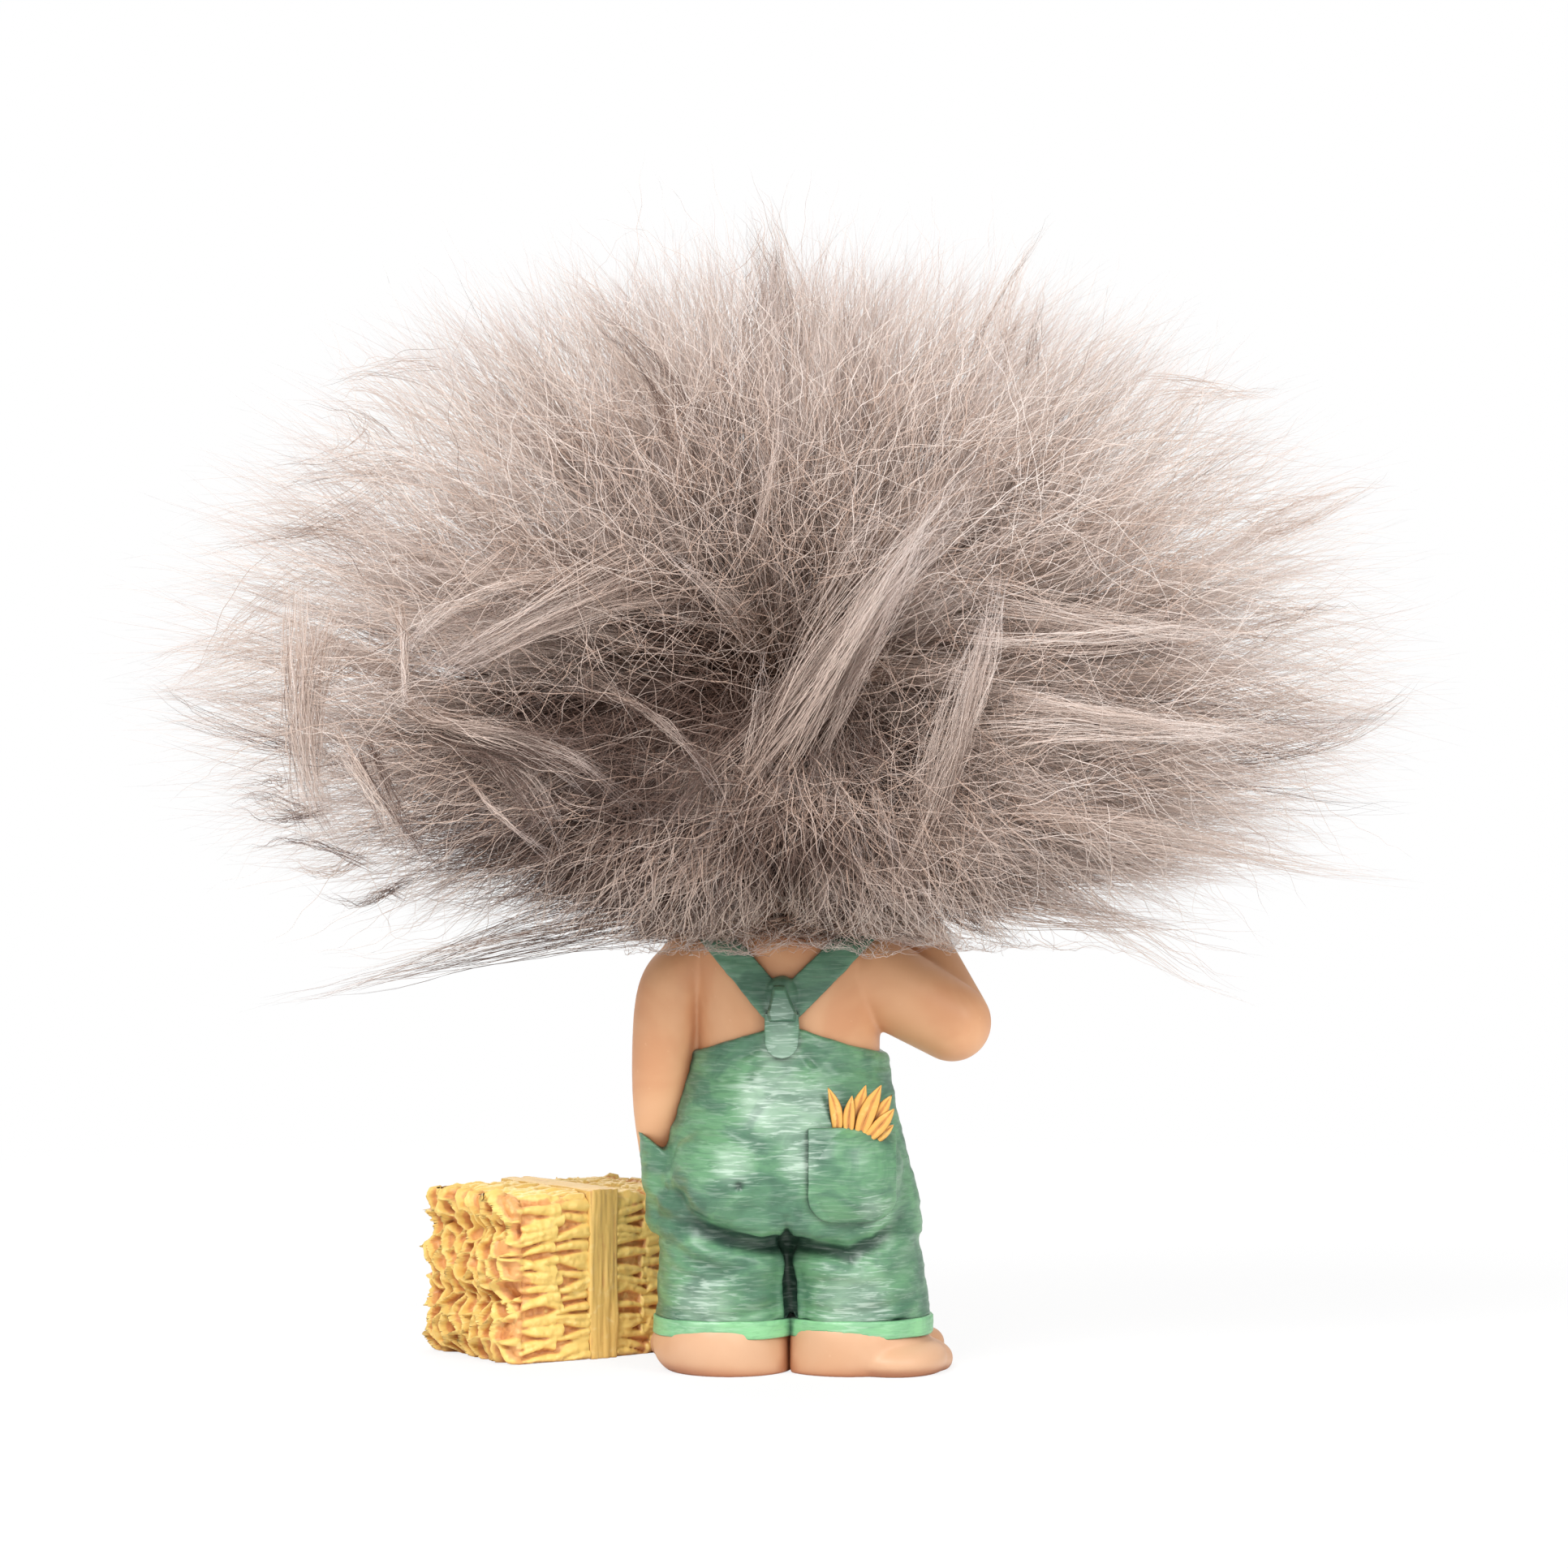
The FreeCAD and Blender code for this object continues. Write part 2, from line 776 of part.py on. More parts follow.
def make_seat(name, grow):
    """The seat's outer surface, grown outwards by a length."""
    foot = (NIL, NIL, size["seat_bottom"])
    hips = swell(
        f"{name}_hips",
        SEAT_SHARES,
        foot,
        size["seat_height"],
        size["seat_width"],
        size["seat_depth"],
        grow,
    )
    buttocks = [
        ball(
            f"{name}_buttock_{side_name}",
            (
                size["buttock_spacing"] * (0.5 * side),
                size["seat_depth"] * 0.22,
                size["seat_bottom"] + size["buttock_rise"],
            ),
            (
                size["buttock_width"] * 0.5 + grow,
                size["buttock_depth"] * 0.5 + grow,
                size["buttock_height"] * 0.5 + grow,
            ),
        )
        for side_name, side in SIDES.items()
    ]
    return fuse(name, hips, *buttocks)


waist_slope = math.degrees(math.atan2(SIZES["waist_drop"], SIZES["trunk_width"] / 2))
waist_peak = (size["crease_offset"], NIL, size["waist_peak_height"])
waist_cuts = []
for name, side in SIDES.items():
    turn = Rotation(BACKWARD, waist_slope * side)
    reach = turn.multVec(UP)
    middle = (
        waist_peak[0] + size["overrun"] * (reach.x / 2),
        waist_peak[1],
        waist_peak[2] + size["overrun"] * (reach.z / 2),
    )
    waist_cuts.append(block(f"waist_{name}", middle, [size["overrun"]] * 3, turn))
seat_form = cut("seat_form", make_seat("seat_whole", NIL), *waist_cuts)
node("overalls_seat", cut("seat_cut", seat_form, torso, left_limb))
seat_skin = make_seat("seat_skin", size["pocket_thickness"])


def make_leg(side_name, share):
    """A trouser leg over the foot, with a rolled hem at its bottom."""
    side = SIDES[side_name]
    width = size["leg_width"] * share
    foot = (
        (width * 0.5 - size["leg_overlap"]) * side - size["crease_offset"],
        NIL,
        size["leg_bottom"],
    )
    hem_rings = []
    shares = LEG_SHARES[side_name]
    wide, deep = shares[0][3:]
    for index, rise in enumerate((NIL, size["hem_height"])):
        hem_rings.append(
            ring(
                f"{side_name}_hem_ring{index}",
                (foot[0], foot[1], foot[2] + rise),
                width * wide + size["hem_roll"] * 2,
                size["leg_depth"] * deep + size["hem_roll"] * 2,
            )
        )
    hem_loft = loft(f"{side_name}_hem_run", hem_rings)
    crease = creases[side_name]
    hem = cut(f"{side_name}_hem_cut", hem_loft, *foot_forms[side_name], crease)
    node(f"{side_name}_hem", hem)
    run = swell(
        f"{side_name}_leg_run",
        shares,
        foot,
        size["leg_height"],
        width,
        size["leg_depth"],
        side=side,
    )
    leg = cut(f"{side_name}_leg_cut", run, hem_loft, seat_form, crease)
    node(f"{side_name}_trouser_leg", leg)
    return run, hem_loft


left_leg_run, left_hem_run = make_leg("left", 1)
make_leg("right", RIGHT_LEG_SHARE)

# Bib at the front, with its buttons and pocket

bib_foot = size["waist_peak_height"] - size["waist_drop"]
bib_block = block(
    "bib_block",
    (NIL, -(size["trunk_depth"]), bib_foot + size["bib_height"] * 0.5),
    [size["bib_width"], size["trunk_depth"] * 2, size["bib_height"]],
)
node("bib", cut("bib_cut", common("bib_cloth", trunk_cloth, bib_block), torso, seat_form))
bib_top = bib_foot + size["bib_height"]
trunk_pocket = make_trunk("trunk_pocket", size["cloth"] + size["pocket_thickness"])
front_pocket_block = block(
    "front_pocket_block",
    (NIL, -(size["trunk_depth"]), bib_foot + size["bib_height"] * 0.52),
    [size["front_pocket_width"], size["trunk_depth"] * 2, size["front_pocket_height"]],
)
node(
    "bib_pocket",
    cut(
        "bib_pocket_cut",
        common("bib_pocket_cloth", trunk_pocket, front_pocket_block),
        trunk_cloth,
        seat_form,
    ),
)

# Knot and tab behind, where the straps meet

knot_place = (size["crease_offset"] * 1.6, size["trunk_depth"] * 0.5, size["waist_peak_height"])
knot_rise = size["tab_width"] * 0.38
knot_ball = ball(
    "knot_ball",
    (
        knot_place[0],
        size["trunk_depth"] * 0.44,
        knot_place[2] + knot_rise + size["knot_height"] * 0.42,
    ),
    (size["knot_width"] * 0.5, size["trunk_depth"] * 0.09, size["knot_height"] * 0.56),
)
node("strap_knot", cut("knot_cut", knot_ball, torso, seat_form))
tab_top = knot_place[2] + knot_rise
tab_foot = tab_top - size["tab_length"] + size["tab_width"] * 0.5
tab_block = block(
    "tab_block",
    (knot_place[0], size["trunk_depth"], (tab_top + tab_foot) * 0.5),
    [size["tab_width"], size["trunk_depth"] * 2, tab_top - tab_foot],
)
tab_round = rod(
    "tab_round",
    (knot_place[0], NIL, tab_foot),
    (knot_place[0], size["trunk_depth"] * 2, tab_foot),
    size["tab_width"] * 0.5,
)
seat_tab_skin = make_seat("seat_tab_skin", size["tab_thickness"])
tab_skin = common("tab_skin", seat_tab_skin, fuse("tab_outline", tab_block, tab_round))
node("strap_tab", cut("tab_cut", tab_skin, seat_form, torso, knot_ball))

# Shoulder straps from the knot over the shoulders to the bib

strap_skin = make_trunk("strap_skin", size["cloth"] * 1.1)
STRAP_SHOULDER_SHARES = {"left": (0.40, 1.00), "right": (-0.40, 1.00)}


def strap_run(name, start, end, from_y, to_y):
    """An upright slab that follows a line across the figure's front or back."""
    way = Vector(end[0].value - start[0].value, 0, end[1].value - start[1].value)
    turn = Rotation(ACROSS, way)
    flat_start = (start[0], NIL, start[1])
    flat_end = (end[0], NIL, end[1])
    centre = between(flat_start, flat_end, 0.5)
    spans = (
        span(flat_start, flat_end) + size["strap_width"],
        to_y - from_y,
        size["strap_width"],
    )
    return block(name, (centre[0], (from_y + to_y) * 0.5, centre[2]), spans, turn)


strap_cloths = []
for name, side in SIDES.items():
    out_share, up_share = STRAP_SHOULDER_SHARES[name]
    shoulder = (
        size["trunk_width"] * out_share,
        size["trunk_bottom"] + size["trunk_height"] * (up_share - 0.03),
    )
    knot_point = (
        knot_place[0] + size["knot_width"] * (0.45 * side),
        tab_top + size["knot_height"] * 0.42,
    )
    bib_point = (size["bib_width"] * (0.40 * side), bib_top - size["strap_width"] * 0.4)
    behind = strap_run(f"{name}_strap_behind", knot_point, shoulder, NIL, size["trunk_depth"])
    before = strap_run(f"{name}_strap_before", bib_point, shoulder, -(size["trunk_depth"]), NIL)
    path = fuse(f"{name}_strap_path", behind, before)
    runs = cut(f"{name}_strap_runs", path, bib_block, shoulder_balls[name], skull)
    cloth = common(f"{name}_strap_cloth", strap_skin, runs)
    tools = (knot_ball, tab_skin, seat_form, trunk, neck, *strap_cloths)
    node(f"{name}_strap", cut(f"{name}_strap_cut", cloth, *tools))
    strap_cloths.append(cloth)

buttons = []
for name, side in SIDES.items():
    button_place = (
        size["bib_width"] * (0.38 * side),
        -(size["trunk_depth"] * 0.40) - size["cloth"],
        bib_top - size["strap_width"] * 0.6,
    )
    disc = ball(
        f"button_{name}",
        button_place,
        (size["button_radius"], size["button_radius"] * 0.9, size["button_radius"]),
    )
    buttons.append(cut(f"button_cut_{name}", disc, torso, strap_skin))
node("bib_buttons", group("button_pair", *buttons))

# Back pocket with its sprig of straw

pocket_middle = (
    -(size["back_pocket_offset"]),
    size["seat_depth"],
    size["back_pocket_top"] - size["back_pocket_height"] * 0.5,
)
half_pocket = size["back_pocket_width"] * 0.5
pocket_corner = size["pocket_corner"]
pocket_upper = block(
    "pocket_upper",
    (pocket_middle[0], pocket_middle[1], pocket_middle[2] + pocket_corner * 0.5),
    [size["back_pocket_width"], size["seat_depth"] * 2, size["back_pocket_height"] - pocket_corner],
)
pocket_lower = block(
    "pocket_lower",
    pocket_middle,
    [
        size["back_pocket_width"] - pocket_corner * 2,
        size["seat_depth"] * 2,
        size["back_pocket_height"],
    ],
)
pocket_rounds = []
for name, side in SIDES.items():
    across = pocket_middle[0] + (half_pocket - pocket_corner) * side
    up = size["back_pocket_top"] - size["back_pocket_height"] + pocket_corner
    pocket_rounds.append(
        rod(
            f"pocket_round_{name}",
            (across, NIL, up),
            (across, size["seat_depth"] * 2, up),
            pocket_corner,
        )
    )
pocket_outline = fuse("pocket_outline", pocket_upper, pocket_lower, *pocket_rounds)
back_pocket = node(
    "back_pocket", cut("back_pocket_cut", common("pocket_skin", seat_skin, pocket_outline), seat_form)
)

blades = []
sprig_foot = size["back_pocket_top"] - size["sprig_height"] * 0.3
for index, (foot_across, tip_across, rise, thick) in enumerate(BLADE_SHARES):
    thickness = size["sprig_blade"] * thick
    back = size["seat_depth"] * 0.5
    start = (
        pocket_middle[0] - size["sprig_width"] * foot_across,
        back - thickness * 0.2,
        sprig_foot,
    )
    end = (
        pocket_middle[0] - size["sprig_width"] * tip_across,
        back - thickness * 0.4,
        sprig_foot + size["sprig_height"] * rise,
    )
    middle = between(start, end, 0.5)
    blade = ball(
        f"blade{index}",
        middle,
        (thickness * 0.5, thickness * 0.62, span(start, end) * 0.55),
        heading(start, end),
    )
    blades.append(blade)
node("pocket_straw", cut("sprig_cut", fuse("sprig_whole", *blades), seat_form, back_pocket, torso))

# Side pocket around the left hand, with a slanting lip

cup_foot = (size["side_pocket_out"], NIL, size["seat_bottom"])
cup = swell(
    "side_pocket_cup",
    POCKET_CUP_SHARES,
    cup_foot,
    size["side_pocket_height"],
    size["side_pocket_width"],
    size["side_pocket_depth"],
)
lip_slant = Rotation(BACKWARD, -LIP_SLANT_DEGREES)
lip_reach = lip_slant.multVec(UP)
lip_point = (
    size["side_pocket_out"] + size["side_pocket_width"] * 0.32,
    NIL,
    cup_foot[2] + size["side_pocket_height"] * 0.81,
)
lip = block(
    "side_pocket_lip",
    (
        lip_point[0] + size["overrun"] * (lip_reach.x / 2),
        lip_point[1],
        lip_point[2] + size["overrun"] * (lip_reach.z / 2),
    ),
    [size["overrun"]] * 3,
    lip_slant,
)
node("side_pocket", cut("side_pocket_cut", cup, lip, left_limb, seat_form))

# Straw bale with its band, side straws and cut ends

bale_way = Rotation(UP, -BALE_TURN_DEGREES)
bale_along = bale_way.multVec(ACROSS)
bale_across = bale_way.multVec(BACKWARD)


def on_bale(along, across, up):
    """A point by lengths from the bale's near corner, along it, across it and up."""
    return (
        size["bale_corner_out"] + along * bale_along.x + across * bale_across.x,
        -(size["bale_corner_forward"]) + along * bale_along.y + across * bale_across.y,
        up,
    )


def slab(name, low, high):
    """A block in the bale's own directions between two opposite corners."""
    centre = on_bale(*between(low, high, 0.5))
    return block(name, centre, [b - a for a, b in zip(low, high)], bale_way)


core_parts = [
    slab(
        "bale_middle",
        (NIL, size["bale_edge"], NIL),
        (size["bale_length"], size["bale_width"] - size["bale_edge"], size["bale_height"]),
    ),
    slab(
        "bale_broad",
        (NIL, NIL, NIL),
        (size["bale_length"], size["bale_width"], size["bale_height"] - size["bale_edge"]),
    ),
]
for index, across in enumerate((size["bale_edge"], size["bale_width"] - size["bale_edge"])):
    up = size["bale_height"] - size["bale_edge"]
    core_parts.append(
        rod(
            f"bale_edge{index}",
            on_bale(NIL, across, up),
            on_bale(size["bale_length"], across, up),
            size["bale_edge"],
        )
    )
neighbours = (left_foot, left_hem_run, left_leg_run, cup, seat_form)
hay_bale = node("hay_bale", cut("bale_cut", fuse("bale_whole", *core_parts), *neighbours))
band_low = size["band_place"] - size["band_width"] * 0.5
band_high = size["band_place"] + size["band_width"] * 0.5
band_out = size["band_thickness"]
band_slab = slab(
    "band_slab",
    (band_low, -band_out, NIL),
    (band_high, size["bale_width"] + band_out, size["bale_height"] + band_out),
)
bale_band = node("bale_band", cut("band_cut", band_slab, hay_bale, *neighbours))

side_straws = []
for index, (up_share, thick) in enumerate(SIDE_STRAW_SHARES):
    up = size["bale_height"] * up_share
    radius = size["straw_radius"] * thick
    for wall, across in (("near", radius * 0.35), ("far", size["bale_width"] - radius * 0.35)):
        start = on_bale(size["straw_radius"] * 0.6, across, up)
        end = on_bale(size["bale_length"] * 0.97, across, up)
        side_straws.append(rod(f"straw_{wall}{index}", start, end, radius))
for index, (across_share, thick) in enumerate(TOP_STRAW_SHARES):
    radius = size["straw_radius"] * thick
    across = size["bale_width"] * across_share
    up = size["bale_height"] - radius * 0.35
    start = on_bale(size["straw_radius"] * 0.8, across, up)
    end = on_bale(size["bale_length"], across, up)
    side_straws.append(rod(f"straw_top{index}", start, end, radius))
node(
    "bale_straws",
    group(
        "side_straw_group",
        *[
            cut(f"side_straw_cut{i}", straw, hay_bale, bale_band, *neighbours)
            for i, straw in enumerate(side_straws)
        ],
    ),
)

straw_ends = []
for index, (across_share, up_share, thick) in enumerate(STRAW_END_SHARES):
    across = size["bale_width"] * across_share
    up = size["bale_height"] * up_share
    radius = size["straw_end_radius"] * thick
    start = on_bale(size["straw_end_reach"] * 0.5, across, up)
    end = on_bale(-(size["straw_end_reach"] * thick), across, up)
    outer = rod(f"straw_end{index}", start, end, radius)
    far = on_bale(-(size["overrun"]), across, up)
    inner = rod(f"straw_hole{index}", start, far, radius - size["straw_wall"])
    straw_ends.append(cut(f"straw_end_cut{index}", outer, inner, hay_bale))
node("bale_straw_ends", group("straw_end_group", *straw_ends))

# Fleece wig: the hide on the skull, the dense fleece and its locks

hide_ball = sphere("hide_ball", head_centre, size["head_radius"] + size["hide"])
hairline = (-(size["hairline_forward"]), head_centre[2] + size["hairline_rise"])
nape = (size["nape_back"], head_centre[2] - size["nape_drop"])
hide_fall = Vector(0, nape[0].value - hairline[0].value, nape[1].value - hairline[1].value)
hide_turn = Rotation(BACKWARD, hide_fall)
hide_inward = hide_turn.multVec(UP)
hide_middle = between((NIL, *hairline), (NIL, *nape), 0.5)
hide_front = block(
    "hide_front",
    (
        NIL,
        hide_middle[1] - size["overrun"] * (hide_inward.y / 2),
        hide_middle[2] - size["overrun"] * (hide_inward.z / 2),
    ),
    [size["overrun"], size["overrun"] * 1.5, size["overrun"]],
    hide_turn,
)
hide_form = cut("hide_form", hide_ball, hide_front)
node("pelt_hide", cut("hide_cut", hide_form, skull, *ear_shells.values()))

fleece_foot = (NIL, size["fleece_back"], size["fleece_bottom"])
fleece = swell(
    "fleece",
    FLEECE_SHARES,
    fleece_foot,
    size["fleece_height"],
    size["fleece_width"],
    size["fleece_depth"],
)
parting = sphere(
    "parting",
    (
        NIL,
        size["fleece_back"] + size["fleece_depth"] * 0.51
        + size["parting_radius"] - size["parting_depth"],
        size["parting_height"],
    ),
    size["parting_radius"],
)
opening_start = (
    NIL,
    -(size["hairline_forward"] * 0.1),
    head_centre[2] - size["head_radius"] * 0.36,
)
opening_end = (
    NIL,
    size["fleece_back"] - size["fleece_depth"] * 0.56,
    opening_start[2] - size["face_opening_flare"] * 0.2,
)
face_opening = taper(
    "face_opening_cone",
    opening_start,
    size["face_opening"],
    opening_end,
    size["face_opening"] + size["face_opening_flare"],
)
node(
    "hair_fluff",
    cut(
        "fleece_cut",
        fleece,
        parting,
        face_opening,
        hide_ball,
        *ear_shells.values(),
        strap_skin,
        neck,
    ),
)

lock_centre = (NIL, size["fleece_back"] * 0.6, size["lock_centre_height"])


def make_locks(label, tilt, first, step, last, shift):
    """A ring of tapered locks that stand out of the fleece."""
    locks = []
    lean = math.radians(tilt)
    for index, degrees in enumerate(range(first, last + 1, step)):
        turn = math.radians(degrees)
        reach = LOCK_REACH_SHARES[(index * 2 + shift) % len(LOCK_REACH_SHARES)]
        way = (
            math.cos(turn) * math.cos(lean) * reach / 2,
            math.sin(lean) * reach / 2,
            math.sin(turn) * math.cos(lean) * reach / 2,
        )
        tip = (
            lock_centre[0] + size["lock_spread_width"] * way[0],
            lock_centre[1] + size["lock_spread_depth"] * way[1],
            lock_centre[2] + size["lock_spread_height"] * way[2],
        )
        root = between(lock_centre, tip, LOCK_ROOT_SHARE)
        cone = taper(f"{label}_cone{index}", root, size["lock_radius"], tip, size["lock_tip"])
        tools = (fleece, face_opening) if tilt < 0 else (fleece,)
        locks.append(cut(f"{label}_cut{index}", cone, *tools))
    return node(label, group(f"{label}_group", *locks))


for shift, (label, (tilt, first, step, last)) in enumerate(LOCK_RINGS.items()):
    make_locks(label, tilt, first, step, last, shift)

doc.recompute()

# Every object must be sound before anything is written.
for obj in doc.Objects:
    if "Invalid" in obj.State or "Error" in obj.State:
        raise SystemExit(f"{obj.Name} failed: {obj.State}")
for obj in nodes:
    if obj.Shape.isNull() or not obj.Shape.isValid() or not obj.Shape.Solids:
        raise SystemExit(f"{obj.Label} has no sound solid")

os.makedirs("parts", exist_ok=True)
for obj in nodes:
    obj.Shape.exportStep(f"parts/{obj.Label}.step")
    print(f"{obj.Label}: {len(obj.Shape.Solids)} solids, {obj.Shape.Volume / 1000:.2f} cm3")
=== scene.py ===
import math

import bmesh
import bpy
import numpy as np
from mathutils import Matrix, Vector


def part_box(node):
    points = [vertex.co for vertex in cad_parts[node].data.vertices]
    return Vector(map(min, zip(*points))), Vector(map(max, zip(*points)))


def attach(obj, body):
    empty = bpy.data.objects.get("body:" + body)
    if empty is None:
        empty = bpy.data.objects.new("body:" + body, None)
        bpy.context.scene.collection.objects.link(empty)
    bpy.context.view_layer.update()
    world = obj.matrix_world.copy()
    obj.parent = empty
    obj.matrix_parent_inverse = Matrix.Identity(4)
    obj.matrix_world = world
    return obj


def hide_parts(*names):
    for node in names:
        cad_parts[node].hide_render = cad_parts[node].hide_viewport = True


# A cast and painted troll figure seen from behind, with a wig of long fleece and a bale of
# straw. Everything is in metres, with the figure's front towards -Y and its left to +X.

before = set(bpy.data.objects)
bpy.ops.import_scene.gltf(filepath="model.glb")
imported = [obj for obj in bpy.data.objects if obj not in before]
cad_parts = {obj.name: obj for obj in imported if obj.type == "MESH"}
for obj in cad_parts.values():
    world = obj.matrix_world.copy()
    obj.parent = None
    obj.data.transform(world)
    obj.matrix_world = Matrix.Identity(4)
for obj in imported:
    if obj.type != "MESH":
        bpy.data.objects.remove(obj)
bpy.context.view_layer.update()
MM = 0.001
SEED = 20

# The photograph: its width in pixels, the size of one at the plane y = 0, and its camera.
PHOTO_PIXELS = 1932
PHOTO_PIXEL = 0.12 * MM
CAMERA_DISTANCE = 650 * MM
CAMERA_HEIGHT = 86.35 * MM
CAMERA_ACROSS = 0.48 * MM
SENSOR = 36.0


def from_photo(px, py, depth=0.0):
    """The point seen at a pixel of the photograph, at a depth in metres behind y = 0."""
    reach = PHOTO_PIXEL * (CAMERA_DISTANCE - depth) / CAMERA_DISTANCE
    middle = PHOTO_PIXELS / 2
    return (CAMERA_ACROSS + (middle - px) * reach, depth, CAMERA_HEIGHT - (py - middle) * reach)


def pairs(numbers):
    """A row of numbers as pairs."""
    return list(zip(numbers[::2], numbers[1::2]))


def colour(tint):
    """A tint in the 0 to 255 steps of a screen, as Blender's linear values."""
    steps = []
    for step in tint:
        share = step / 255
        steps.append(share / 12.92 if share <= 0.04045 else ((share + 0.055) / 1.055) ** 2.4)
    return (*steps, 1.0)


# Noise over points in space, for shapes


def lattice(cells, seed):
    """A repeatable number from -1 to 1 for each whole-number cell."""
    mixed = np.full(cells.shape[:-1], np.uint32(seed * 2654435761 % 2**32), dtype=np.uint32)
    for axis, prime in enumerate((374761393, 668265263, 2246822519)):
        mixed = (mixed ^ cells[..., axis].astype(np.int64).astype(np.uint32)) * np.uint32(prime)
        mixed ^= mixed >> np.uint32(15)
    mixed = mixed * np.uint32(2654435769)
    mixed ^= mixed >> np.uint32(13)
    return mixed.astype(np.float64) / (2**31) - 1


def noise(points, size, seed):
    """Smooth noise from -1 to 1 with cells of the given size along each axis."""
    scaled = points / np.asarray(size)
    base = np.floor(scaled)
    part = scaled - base
    part = part * part * (3 - 2 * part)
    total = np.zeros(len(points))
    for corner in np.ndindex(2, 2, 2):
        weight = np.ones(len(points))
        for axis, far in enumerate(corner):
            weight *= part[:, axis] if far else 1 - part[:, axis]
        total += weight * lattice(base + np.array(corner), seed)
    return total


def layered(points, size, seed, layers=3):
    """Noise with finer and fainter layers added to it."""
    total = np.zeros(len(points))
    for layer in range(layers):
        total += noise(points, np.asarray(size) / 2**layer, seed + layer) / 2**layer
    return total


def smooth(value, low, high):
    """An eased step: 0 at low and 1 at high."""
    share = np.clip((value - low) / (high - low), 0, 1)
    return share * share * (3 - 2 * share)


def bell(away, reach):
    """A bell curve: 1 in its middle and faint beyond its reach."""
    return np.exp(-((away / reach) ** 2))


def unit(vectors):
    """Vectors of length 1."""
    return vectors / np.maximum(np.linalg.norm(vectors, axis=-1, keepdims=True), 1e-12)


# Materials


def fill(tree, socket, value):
    """Give a socket a value, or link another socket to it."""
    if isinstance(value, bpy.types.NodeSocket):
        tree.links.new(value, socket)
    else:
        socket.default_value = value


def add_node(tree, kind, inputs=(), **settings):
    """A shader node with settings, and inputs by name or number."""
    node = tree.nodes.new(f"ShaderNode{kind}")
    for name, value in settings.items():
        setattr(node, name, value)
    for name, value in dict(inputs).items():
        fill(tree, node.inputs[name], value)
    return node


def set_range(node, *ends):
    """Set what a map range node maps from and to: two ends of each."""
    for socket, end in zip(("From Min", "From Max", "To Min", "To Max"), ends):
        node.inputs[socket].default_value = end
    return node.outputs["Result"]


class Paint:
    """A material under construction: one principled shader and the nodes that feed it."""

    def __init__(self, name, roughness, specular=0.5):
        self.material = bpy.data.materials.new(name)
        self.material.use_nodes = True
        self.tree = self.material.node_tree
        self.shader = self.tree.nodes["Principled BSDF"]
        self.shader.inputs["Roughness"].default_value = roughness
        self.shader.inputs["Specular IOR Level"].default_value = specular
        self.place = self.node("TexCoord").outputs["Object"]

    def node(self, kind, inputs=(), **settings):
        return add_node(self.tree, kind, inputs, **settings)

    def noise(self, size, stretch=(1, 1, 1), detail=3.0, twist=0.0):
        """Noise with cells of a size in millimetres, stretched along each axis."""
        scale = [1 / (size * MM * share) for share in stretch]
        mapping = self.node("Mapping", {"Vector": self.place, "Scale": scale})
        inputs = {"Vector": mapping.outputs["Vector"], "Scale": 1, "Detail": detail}
        return self.node("TexNoise", {**inputs, "Distortion": twist}).outputs["Fac"]

    def attribute(self, name):
        """A share that the mesh carries."""
        return self.node("Attribute", attribute_name=name).outputs["Fac"]

    def ramp(self, value, *ends):
        """A value between two ends, eased to 0 and 1 or to two further ends."""
        mapper = self.node("MapRange", {"Value": value}, interpolation_type="SMOOTHSTEP")
        return set_range(mapper, *ends)

    def maths(self, operation, *values):
        return self.node("Math", enumerate(values), operation=operation).outputs[0]

    def vector_maths(self, operation, *values):
        node = self.node("VectorMath", enumerate(values), operation=operation)
        return node.outputs["Value" if operation == "LENGTH" else "Vector"]

    def mix(self, share, *sides):
        """A mix of two colours, each a socket or a tint."""
        first, second = [colour(side) if isinstance(side, tuple) else side for side in sides]
        mixer = self.node("Mix", data_type="RGBA")
        for index, value in (("Factor", share), (6, first), (7, second)):
            fill(self.tree, mixer.inputs[index], value)
        return mixer.outputs[2]

    def lay(self, base, tint, value, *ends):
        """A colour laid over a base one as far as a ramp of the value says."""
        return self.mix(self.ramp(value, *ends), base, tint)

    def hollow(self, reach):
        """How enclosed the surface is within a reach in millimetres: 1 deep in a crease."""
        reader = self.node("AmbientOcclusion", {"Distance": reach * MM}, samples=6)
        return self.maths("SUBTRACT", 1.0, reader.outputs["AO"])

    def finish(self, base, height=None, strength=0.3, depth=0.1):
        """The material, with a base colour and any bumps in millimetres."""
        fill(self.tree, self.shader.inputs["Base Color"], base)
        if height is not None:
            inputs = {"Strength": strength, "Distance": depth * MM, "Height": height}
            bump = self.node("Bump", inputs)
            fill(self.tree, self.shader.inputs["Normal"], bump.outputs["Normal"])
        return self.material


